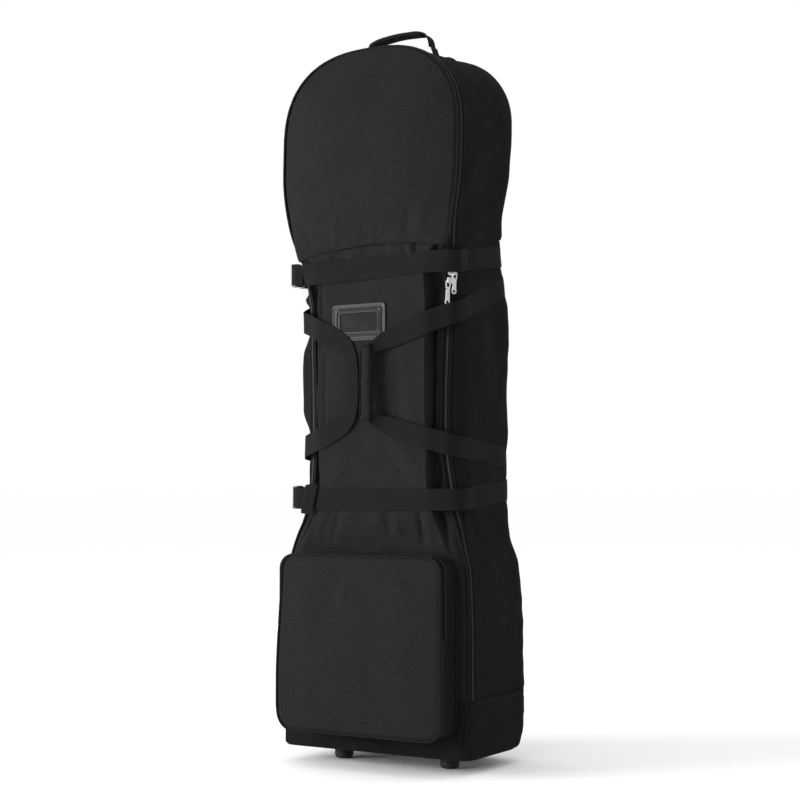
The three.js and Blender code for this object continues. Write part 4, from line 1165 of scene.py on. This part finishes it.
def hull(z, distance, lift):
    """The point at a signed distance round the body, positive round the right side."""
    z = round(float(z))
    d, line, tangent, total = hull_line(z)
    far = abs(distance) > total
    at = 2 * total - abs(distance) if far else abs(distance)
    x, y = np.interp(at, d, line[:, 0]), np.interp(at, d, line[:, 1])
    tx, ty = np.interp(at, d, tangent[:, 0]), np.interp(at, d, tangent[:, 1])
    x, y = x + ty * lift, y - tx * lift
    s = section(float(z))
    climb = s.rise * max((y - s.front - s.setback) / (s.back - s.front - s.setback), 0)
    return (x if (distance < 0) == far else -x), y, climb


def band(name, middle, across, up, width, body, nodes=(), thick=WEB_THICK):
    """A woven band from its centre line, across and up directions, with rounded selvedges."""
    v = np.linspace(-1, 1, 11)
    edge = thick * 0.5 * (1 - 0.55 * np.abs(v) ** 8)
    flat = middle[:, None] + across[:, None] * (v[None, :, None] * width / 2)
    outer = flat + up[:, None] * edge[None, :, None]
    inner = flat - up[:, None] * edge[None, :, None]
    uv = np.stack(np.broadcast_arrays(travelled(middle)[:, None], v * WEB_WIDTH / 2), -1)
    dress(shell(name, outer, inner, uv, [WEB], sharp=60), body, "webbing", *nodes)
    return outer


def webbing(name, path, body, nodes, width=WEB_WIDTH):
    """Webbing laid on the body along (distance, height, lift) points."""
    line = soften(resample(path, 4), 2)
    v = np.linspace(-1, 1, 11)
    slope = unit(np.gradient(line[:, :2], axis=0))
    width = np.broadcast_to(np.asarray(width, float), (len(line),))
    outer, inner = [], []
    for (d, z, lift), (along, climb), wide in zip(line, slope, width):
        top, low = [], []
        for t in v:
            away = t * wide / 2
            at_d, at_z = d - climb * away, z + along * away
            thick = WEB_THICK * (1 - 0.35 * abs(t) ** 8)
            for side, height in ((top, WEB_THICK / 2 + thick / 2), (low, WEB_THICK / 2 - thick / 2)):
                x, y, rise = hull(at_z, at_d, lift + height)
                side.append((x, y, at_z + rise))
        outer.append(top)
        inner.append(low)
    outer, inner = np.array(outer), np.array(inner)
    for grid in (outer, inner):
        grid[:] = np.stack([soften(grid[:, c], 1) for c in range(grid.shape[1])], 1)
    uv = np.stack(np.broadcast_arrays(travelled(line[:, :2])[:, None], v * width[:, None] / 2), -1)
    dress(shell(name, outer, inner, uv, [WEB], sharp=60), body, "webbing", *nodes)
    return outer


def cross_stitch(body, grid, row, rows):
    """A box with a cross sewn through a band, over rows of its grid."""
    low, high = 1.2, grid.shape[1] - 2.2
    away = unit(np.cross(grid[row + 1, 5] - grid[row, 5], grid[row, 6] - grid[row, 5]))
    if away @ (grid[row, 5] - np.array([0, 0, grid[row, 5][2]])) < 0:
        away = -away
    a, b = float(row), float(row + rows)
    for p, q in (((a, low), (a, high)), ((b, low), (b, high)), ((a, low), (b, low)), ((a, high), (b, high)),
                 ((a, low), (b, high)), ((a, high), (b, low))):
        seam = on_grid(grid, np.linspace(p[0], q[0], 12), np.linspace(p[1], q[1], 12))
        stitch(body, seam + away * 0.3, pitch=3.4)


STRAPS = [{"name": "upper", "z": 886, "x": -175, "y": -113, "climb": 6},
          {"name": "lower", "z": 475, "x": -181, "y": -97, "climb": 0}]
BUCKLE = {"height": 43, "female": 38, "male": 24, "thick": 15}


BUCKLE_RAISED = 3.5             # height of a buckle's middle above its strap's


def cinch_strap(strap):
    """The strap round the body and its ends at the buckle on the left side."""
    name, z, x, y = strap["name"], strap["z"], strap["x"], strap["y"]
    level = z + BUCKLE_RAISED
    reach = 2 * hull_line(z)[3] - 262
    shares = [(-148, 0), (-119, 0), (0, 0.25), (125, 1), (330, 1), (reach - 40, 0), (reach, 0)]
    path = [(d, z + strap["climb"] * share, 0) for d, share in shares]
    grid = webbing(f"strap_{name}_cloth", path, "case", (f"strap_{name}",))
    cross_stitch("case", grid, 92, 9)
    male_end = y + BUCKLE["female"] + BUCKLE["male"]
    front = [tuple(grid[0, 5]), (x + 6, y - 9, level), (x + 1, y - 3, level), (x, y + 10, level)]
    rear = [tuple(grid[-1, 5]), (x + 3, 30, level + 5), (x + 3, 12, level), (x + 3, male_end + 27, level)]
    for label, points, blur in (("front", front, 2), ("rear", rear, 3)):
        line = soften(resample(points, 3), blur)
        upright = repeat((0, 0, 1), len(line))
        up = unit(np.cross(np.gradient(line, axis=0), upright))
        band(f"strap_{name}_{label}_end", line, upright, up, WEB_WIDTH, "case")
    line = np.array([(x, t, level) for t in np.linspace(male_end - 14, male_end + 42, 20)])
    grid = band(f"strap_{name}_pulled_end", line, repeat((0, 0, 1), 20), repeat((-1, 0, 0), 20), WEB_WIDTH,
                f"buckle_{name}_male", (f"strap_{name}_end",))
    cross_stitch(f"buckle_{name}_male", grid, 12, 6)


def buckle(strap):
    """A side-release buckle: the socket on the case, and the prongs that slide out of it."""
    name, x, start = strap["name"], strap["x"], strap["y"]
    level = strap["z"] + BUCKLE_RAISED
    low, high = level - BUCKLE["height"] / 2, level + BUCKLE["height"] / 2
    half = BUCKLE["thick"] / 2
    joint = start + BUCKLE["female"]
    end = joint + BUCKLE["male"]

    def slab(half_x, y0, y1, below, above):
        return x - half_x, x + half_x, y0, y1, low + below, high - above

    socket = boxed(
        f"buckle_{name}_socket",
        [slab(half - 1, start + 8, joint, 0, 0), slab(half - 2.5, start, start + 10, 1, 1),
         slab(half, start + 15, joint - 5, 9, 9)],
        ACETAL, 1.3, 3,
        [slab(4, start + 12, joint + 3, 2.5, 2.5), slab(2.5, start - 3, start + 13, 2.5, 2.5),
         (x - half - 2, x + half + 2, start + 18, joint - 9, low - 2, low + 5),
         (x - half - 2, x + half + 2, start + 18, joint - 9, high - 5, high + 2)])
    dress(socket, "case", "buckle_plastic", f"buckle_{name}_female")
    prongs = boxed(
        f"buckle_{name}_prongs",
        [slab(4.5, joint + 0.4, end, 1, 1),
         (x - 3.3, x + 3.3, joint - 22, joint + 2, low + 5, low + 12),
         (x - 3.3, x + 3.3, joint - 22, joint + 2, high - 12, high - 5),
         (x - 3.3, x + 3.3, joint - 19, joint + 2, level - 3, level + 3),
         slab(5.4, joint + 2, joint + 6, 3, 3)],
        ACETAL, 1.0, 3,
        [(x - 2, x + 2, joint + 8, end + 2, level - 19, level + 19),
         (x - 6, x + 6, joint + 9, end - 6, level - 19, level + 19)])
    dress(prongs, f"buckle_{name}_male", "buckle_plastic", f"buckle_{name}_male")


UPPER_RUN = [(61, 767), (101, 779), (130, 791), (154, 799), (178, 804), (204, 810), (257, 820), (330, 834),
             (352, 836), (374, 838), (396, 839), (440, 840)]
LOWER_RUN = [(61, 597), (101, 586), (130, 579), (154, 572), (178, 566), (204, 561), (257, 551), (330, 536),
             (352, 533), (374, 531), (396, 530), (440, 528)]
LOOP_LIFT = 2
GRIP = {"x": 5, "y": -141, "half_x": 12, "half_y": 9, "bottom": 618, "top": 744}


def lifted(run, side=1):
    """A loop's run with its lift off the cloth, which ends where the run reaches the side."""
    return [(side * d, z, LOOP_LIFT if d < 130 else 0) for d, z in run]


LOOP_TURN = [(-82, 771), (-62, 761), (-45, 748), (-36, 728), (-33, 700), (-32, 679), (-33, 656), (-36, 634),
             (-45, 616), (-62, 605), (-82, 597)]


def carry_loops():
    """The right loop's two arms gather into the grip; the left loop turns back on itself beside it."""
    for level, run, hook in (("upper", UPPER_RUN, [(12, 742, 14.5), (18, 747, 11), (34, 756, 5)]),
                             ("lower", LOWER_RUN, [(12, 620, 14.5), (18, 616, 11), (34, 608, 5)])):
        path = hook + lifted(run)
        width = np.interp(np.arange(len(resample(path, 4))), [0, 4, 12], [17, 26, WEB_WIDTH])
        grid = webbing(f"loop_right_{level}_cloth", path, "case", (f"loop_right_{level}",), width)
        cross_stitch("case", grid, 74, 9)
    turn = [(d, z, LOOP_LIFT) for d, z in LOOP_TURN]
    path = lifted(UPPER_RUN[:0:-1], -1) + turn + lifted(LOWER_RUN[1:], -1)
    width = np.interp(resample(path, 4)[:, 0], [-90, -52, -36], [WEB_WIDTH, 30, 22])
    grid = webbing("loop_left_cloth", path, "case", ("loop_left",), width)
    cross_stitch("case", grid, 26, 9)


def strap_tail():
    """The loose end of the lower strap, folded down over the front."""
    y = section(475.0).front - 6.9
    line = [(-129, y + 3, 503), (-128, y, 495), (-132, y, 480), (-136, y, 462), (-138, y + 1, 448)]
    line = soften(resample(line, 3), 2)
    across = np.cross(heading(line), (0, -1, 0))
    grid = band("strap_lower_tail_cloth", line, across, repeat((0, -1, 0), len(line)), 26, "case",
                ("strap_lower_tail",))
    seam = on_grid(grid, np.full(9, len(line) - 2.5), np.linspace(1, 9, 9))
    stitch("case", seam + np.array([0, -0.3, 0]))


def soft_bar(name, line, across, up, half_width, half_height, body, node, wobble=0.4, seed=70):
    """A padded sleeve round a handle: a rounded cross-section swept along a line, pinched at its ends."""
    sides = 40
    q = np.arange(sides) / sides * 2 * math.pi
    power = 0.72
    cx = np.sign(np.cos(q)) * np.abs(np.cos(q)) ** power
    cy = np.sign(np.sin(q)) * np.abs(np.sin(q)) ** power
    s = np.linspace(-1, 1, len(line))
    swell = (1 - 0.16 * np.abs(s) ** 10) * (1 + 0.015 * drift(s * 60, 0, 30, seed))
    run = travelled(line)
    rings = []
    for i, share in enumerate(swell):
        r = share * (1 + wobble / half_width * drift(q * half_width, run[i], 26, seed + 1))
        wide, high = (cx * half_width * r)[:, None], (cy * half_height * r)[:, None]
        rings.append(line[i] + across[i] * wide + up[i] * high)
    first, last = rings[0] * 0.25 + line[0] * 0.75, rings[-1] * 0.25 + line[-1] * 0.75
    outer = np.array([first] + rings + [last])
    run = np.concatenate([[0], run, [run[-1]]])
    uv = np.stack(np.broadcast_arrays((q * half_width)[None], run[:, None]), -1)
    obj = finish_mesh(name, outer.reshape(-1, 3), tube_faces(len(outer), sides), [SHELL], uv.reshape(-1, 2),
                      sharp=50)
    dress(obj, body, "shell_fabric", node)


def carry_grip():
    """The padded sleeve that holds the carrying loops together, and the webbing at its ends."""
    g = GRIP
    rows = 60
    heights = np.linspace(g["bottom"], g["top"], rows)
    line = np.column_stack([np.full(rows, g["x"]), np.full(rows, g["y"]), heights])
    right, ahead = (1, 0, 0), (0, -1, 0)
    soft_bar("grip_sleeve", line, repeat(right, rows), repeat(ahead, rows), g["half_x"], g["half_y"], "grip",
             "grip_wrap")
    seam = np.array([(g["x"] - 7.5, g["y"] - g["half_y"] - 0.1, z)
                     for z in np.linspace(g["bottom"] + 5, g["top"] - 5, 40)])
    dress(tube("grip_seam", seam, 0.9, PIPE, sides=8), "grip", "shell_fabric")
    stitch("grip", seam + np.array([3.2, -0.25, 0]))
    for side, low, high, nodes in (("upper", g["top"] - 3, g["top"] + 7, ("grip_webbing",)),
                                   ("lower", g["bottom"] - 7, g["bottom"] + 3, ())):
        line = np.array([(g["x"], g["y"], z) for z in np.linspace(low, high, 6)])
        band(f"grip_web_{side}", line, repeat(right, 6), repeat(ahead, 6), 17, "grip", nodes, thick=5)


HANDLE_LINE = [(-80.4, 1310), (-79, 1320), (-72, 1330), (-52, 1336), (-25, 1339), (0, 1340), (30, 1339),
               (47, 1335), (56, 1325), (58.4, 1310)]


ROOF_AT = 128.0                 # distance from the sewn edge at which the handle's anchors are sewn on
HANDLE_FOOT = 1309.0            # height at which the handle hangs in its anchors


def top_handle():
    """The swinging top handle with its padded sleeve, and the two anchors sewn to the hood's roof."""
    line = soften(resample([(x, 0, z) for x, z in HANDLE_LINE], 3), 2)
    across = repeat((0, 1, 0), len(line))
    up = np.cross(heading(line), across)
    band("top_handle_cloth", line, across, -up, 24, "top_handle", ("top_handle",), thick=2.4)
    middle = [i for i, p in enumerate(line) if -74 < p[0] < 40]
    part = slice(middle[0], middle[-1] + 1)
    soft_bar("top_handle_sleeve", line[part], across[part], up[part], 14.3, 5.0, "top_handle",
             "top_handle_grip", wobble=0.3, seed=80)
    for name, x_end, start, end in (("right", 62.0, 62, 73), ("left", -84.0, 125, 114)):
        roof = []
        for angle in np.radians(np.linspace(start, end, 6)):
            lift = creases(ROOF_AT, HOOD_SEAM + hood_run(angle), SIDE_FOLDS)
            roof.append(gusset(arch_station(angle), ROOF_AT, 1.4 + float(lift))[0])
        x, z = roof[-1][0], roof[-1][2]
        tab = [(x + (x_end - x) * t, 0, z + (HANDLE_FOOT - z) * t) for t in (0.4, 0.75, 1)]
        path = soften(resample([(p[0], 0, p[2]) for p in roof] + tab, 2.5), 2)
        cross = repeat((0, 1, 0), len(path))
        grid = band(f"handle_anchor_{name}_cloth", path, cross, np.cross(heading(path), cross), 24, "case",
                    (f"handle_anchor_{name}",), thick=2.2)
        cross_stitch("case", grid, 1, 6)


# ------------------------------------------------------------------ label window
LABEL = {"left": -80, "right": 34, "bottom": 759, "top": 827, "y": -121.8}
# outline inset and height above the cloth, from the frame's outer edge to the window's rim
LABEL_PROFILE = [
    (0, 0.2), (0.4, 1.6), (1.4, 2.3), (2.6, 2.2), (4.2, 1.5), (6.5, 1.5), (8.2, 1.7), (9.6, 3.0),
    (11.0, 3.4), (12.4, 2.6), (13.2, 1.6), (14.2, 1.7), (15.2, 2.8), (16.4, 2.9), (17.4, 2.0), (18.0, 0.4)]


def label_window():
    """The label's embossed frame with its stitching, and the slightly bowed window in it."""
    y = LABEL["y"]
    middle = np.array([(LABEL["left"] + LABEL["right"]) / 2, (LABEL["bottom"] + LABEL["top"]) / 2])
    half_w, half_h = (LABEL["right"] - LABEL["left"]) / 2, (LABEL["top"] - LABEL["bottom"]) / 2

    def loop(inset, corner):
        return rounded_outline(half_w - inset, inset - half_h, half_h - inset, corner, 160)[0] + middle

    loops = [(loop(inset, np.interp(inset, [0, 18], [6, 5])), height) for inset, height in LABEL_PROFILE]
    outer = np.array([ring_at(ring, y - height) for ring, height in loops])
    inner = np.array([ring_at(ring, y + 0.6) for ring, _ in loops])
    obj = shell("label_frame", outer, inner, outer[..., ::2], [LEATHER], wrap=True)
    dress(obj, "case", "trim_leather", "id_frame")
    ring = ring_at(loop(5.3, 5), y - 1.9)
    stitch("case", np.concatenate([ring, ring[:1]]), pitch=3.2, share=0.62)
    pane = []
    for share in np.linspace(0, 1, 14):
        p = (loop(17.2, 5) - middle) * share + middle
        bow = 0.4 * (1 - share**2) + 0.35 * drift(p[:, 0], p[:, 1], 34, 91) * (1 - share)
        pane.append(np.column_stack([p[:, 0], y - 0.9 - bow, p[:, 1]]))
    pane = np.array(pane)
    back = pane + np.array([0, 0.7, 0])
    obj = shell("label_pane", pane, back, pane[..., ::2], [VINYL], wrap=True, weld=True)
    dress(obj, "case", "window", "id_window")


# ------------------------------------------------------------------ zip sliders and pulls
SLIDER = {"half_width": 6.6, "half_length": 5.6, "clear": 1.6, "plate": 1.5, "pin": 4.9}
PULL = {"half": 4.5, "thick": 1.6}
PULL_OFFSET = 4.8


def slider_basis(origin, outward, along):
    """The matrix that places a slider built about its own origin: across, outward, along."""
    across = np.cross(outward, along)
    basis = Matrix([(across[i], outward[i], along[i], origin[i] * MM) for i in range(3)] + [(0, 0, 0, 1)])
    basis[1][3] += BODY_Y
    return basis


def pull_tab(name, basis, offset, length, body):
    """A tapering nickel tab: an eye round the slider's bridge, a shoulder, a blade and a ring end."""
    half, pin = PULL["half"], SLIDER["pin"]
    tip = half - length
    right = [(half * math.cos(a), tip + half * math.sin(a)) for a in np.radians(np.linspace(-90, 0, 8))]
    right += [(3.6, tip + 6.5), (3.3, -16), (4.3, -9.5), (4.5, -3)]
    right += [(2.5 + 2 * math.cos(a), -1.25 + 1.9 * math.sin(a)) for a in np.radians(np.linspace(0, 90, 6))]
    outline = [(x * (1 - 0.3 / 4.5), z) for x, z in right + [(-x, z) for x, z in right[::-1]]]
    window = [(2.7, -0.7), (2.7, -8.5), (1.6, -11.5), (-1.6, -11.5), (-2.7, -8.5), (-2.7, -0.7)]
    hole = [(2.6 * math.cos(a), tip + 0.2 + 2.6 * math.sin(a)) for a in np.linspace(0, 2 * math.pi, 20)[:-1]]
    curve = bpy.data.curves.new(name, "CURVE")
    curve.dimensions = "2D"
    curve.fill_mode = "BOTH"
    curve.extrude = (PULL["thick"] / 2 - 0.4) * MM
    curve.bevel_depth = 0.3 * MM
    curve.bevel_resolution = 2
    for points in (outline, window, hole):
        spline = curve.splines.new("POLY")
        spline.points.add(len(points) - 1)
        for point, (x, z) in zip(spline.points, points):
            point.co = (x * MM, z * MM, 0, 1)
        spline.use_cyclic_u = True
    made = add_object(name, curve)
    bpy.context.view_layer.update()
    mesh = bpy.data.meshes.new_from_object(made.evaluated_get(bpy.context.evaluated_depsgraph_get()))
    bpy.data.objects.remove(made)
    obj = add_object(name, mesh)
    lay = Matrix(((1, 0, 0, offset * MM), (0, 0, 1, pin * MM), (0, 1, 0, 0), (0, 0, 0, 1)))
    mesh.transform(basis @ lay)
    turn_outwards(mesh, weld=True)
    mesh.materials.clear()
    mesh.materials.append(NICKEL)
    shade_smooth(mesh, 30)
    dress(obj, body, "zip_metal", body)


def zip_slider(name, origin, outward, along, offset, length):
    """A slider of two plates and a bridge, with its pull beside the zip's middle by offset."""
    basis = slider_basis(origin, outward, along)
    wide, long, clear, pin = (SLIDER[key] for key in ("half_width", "half_length", "clear", "pin"))
    top = clear + SLIDER["plate"]
    body = boxed(
        f"{name}_body",
        [(-wide, wide, clear, top, -long + 1.5, long), (-wide + 2.2, wide - 2.2, clear, top, -long, 0),
         (-wide, -wide + 1.2, clear + 0.3, clear + 1.2, -3.5, 3.5),
         (wide - 1.2, wide, clear + 0.3, clear + 1.2, -3.5, 3.5),
         (offset - 1.3, offset + 1.3, clear + 1, pin + 1.9, -4.8, 4.8)],
        NICKEL, 0.45, 3, [(offset - 3, offset + 3, pin - 1.2, pin + 1.2, -2.5, 2.5)], basis)
    dress(body, f"{name}_slider", "zip_metal", f"{name}_slider")
    pull_tab(f"{name}_tab", basis, offset, length, f"{name}_pull")


def zip_sliders():
    """The main zip's two sliders, one above the other, and the pocket's."""
    def coil(z):
        return gusset(side_station(float(z), 1), COIL_AT, 0)[0]

    along = unit(coil(859) - coil(720))
    for name, z, offset, length in (("zip_upper", 873, -PULL_OFFSET, 38),
                                    ("zip_lower", 859, PULL_OFFSET, 43)):
        origin = coil(z)
        outward = gusset(side_station(float(z), 1), COIL_AT, 1)[0] - origin
        zip_slider(name, origin, unit(outward - along * (outward @ along)), along, offset, length)
    at = (-POCKET["half"] - 1.5, POCKET["split"], POCKET_HINGE + 9.0)
    zip_slider("zip_pocket", at, (-1.0, 0, 0), (0, 0, 1.0), 0, 38)


# ------------------------------------------------------------------ wheels, feet and inside
def own_look(node, material):
    """Gives a CAD part its material, in place."""
    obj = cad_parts[node]
    obj.data.materials.clear()
    obj.data.materials.append(material)
    return obj


def running_gear():
    """Tyres and feet in finer shapes; hubs, bearings, axles and housings are the CAD parts."""
    half = WHEEL["half_width"]
    quarter = np.linspace(0, math.pi / 2, 7)
    tyre = [(-half, 17.5), (-half, 21)]
    tyre += [(-half + 5 - 5 * math.cos(a), 22 + 5 * math.sin(a)) for a in quarter]
    tyre += [(-3, 26.9), (-1.2, 26.9), (-0.9, 26.2), (0.9, 26.2), (1.2, 26.9), (3, 26.9)]
    tyre += [(half - 5 + 5 * math.sin(a), 22 + 5 * math.cos(a)) for a in quarter] + [(half, 21), (half, 17.5)]
    foot = [(0, 0.0), (0, 10.5)]
    foot += [(1.6 - 1.6 * math.cos(a), 10.5 + 4.5 * math.sin(a)) for a in np.linspace(0.3, 1.5, 5)]
    foot += [(4, 16.4), (6, 17.0), (9, 17.4), (12, 17.0), (13, 16.2), (14, 17.0), (17, 17.4), (25, 17.5)]
    foot.append((25, 0.0))
    for name, sign in (("right", 1), ("left", -1)):
        centre = (sign * WHEEL["x"], WHEEL["y"], WHEEL["radius"])
        dress(lathe(f"tyre_{name}_tread", tyre, TYRE, centre), f"wheel_{name}", "wheel_tyre", f"tyre_{name}")
        for part, material in (("hub", HARD), ("bearing", STEEL), ("axle", STEEL), ("housing", HARD)):
            obj = own_look(f"{part}_{name}", material)
            shade_smooth(obj.data, 30)
            if material is HARD:
                bevel(obj, 0.7, 2, 40)
        cap = lathe(f"foot_{name}_cap", foot, RUBBER, (sign * FOOT["x"], FOOT["y"], 0), axis="Z",
                    steps=64, sharp=40)
        dress(cap, "case", "foot_rubber", f"foot_{name}")


def inside():
    """The stiff base board and the strap that holds the golf bag."""
    bevel(own_look("base_board", BOARD), 1.0, 2, 40)
    rows, level = 70, 700.0
    t = np.linspace(-1, 1, rows)
    line = np.column_stack([112 * t, section(level).back - 10 - 26 * (1 - t**2), np.full(rows, level)])
    upright = repeat((0, 0, 1), rows)
    up = np.cross(heading(line), upright)
    grid = band("inner_strap_cloth", line, upright, up, WEB_WIDTH, "case", ("inner_strap",))
    for row in (1, 60):
        cross_stitch("case", grid, row, 7)


# ------------------------------------------------------------------ build
front_cloth()
hood_cloth()
gusset_cloth("gusset_right_cloth", lower_path(1), lambda st, run: st.z, 11, SIDE_FOLDS, "case",
             "gusset_right")
gusset_cloth("gusset_left_cloth", lower_path(-1), lambda st, run: st.z, 14, SIDE_FOLDS[2:], "case",
             "gusset_left", swell=swell_left)
gusset_cloth("gusset_hood_cloth", hood_path(), lambda st, run: HOOD_SEAM + run, 17, SIDE_FOLDS, "case",
             "gusset_hood")
back_cloth()
FRONT_TAPE = 0.6, TAPE - 0.2, COIL_AT - 0.85    # where the front tape starts and ends, and its coil
for label, sign in (("right", 1), ("left", -1)):
    tape_and_coil(f"zip_front_{label}", lower_path(sign), *FRONT_TAPE, "case",
                  (f"zip_tape_front_{label}",), 2.0)
    piping(f"piping_{label}_cord", lower_path(sign), "case", (f"piping_{label}",))
tape_and_coil("zip_front_hood", hood_path(), *FRONT_TAPE, "hood", ("zip_tape_hood_front",), 2.0)
piping("piping_hood_cord", hood_path(), "hood", ("piping_hood",))
whole = lower_path(1) + hood_path() + lower_path(-1)[::-1]
tape_and_coil("zip_rear", whole, TAPE + 1, 2 * TAPE + 0.6, COIL_AT + 0.85, "case", ("zip_tape_rear",), 17.0)
tub_cloth()
pocket_cover()
pocket_walls()
for strap_facts in STRAPS:
    cinch_strap(strap_facts)
    buckle(strap_facts)
carry_loops()
strap_tail()
carry_grip()
top_handle()
label_window()
zip_sliders()
running_gear()
inside()
for body_name, parts in STITCHES.items():
    points, faces, uv = gather(parts)
    thread = finish_mesh(f"stitching_{body_name}", points, faces, [THREAD_MAT], uv, sharp=80)
    dress(thread, body_name, "webbing")
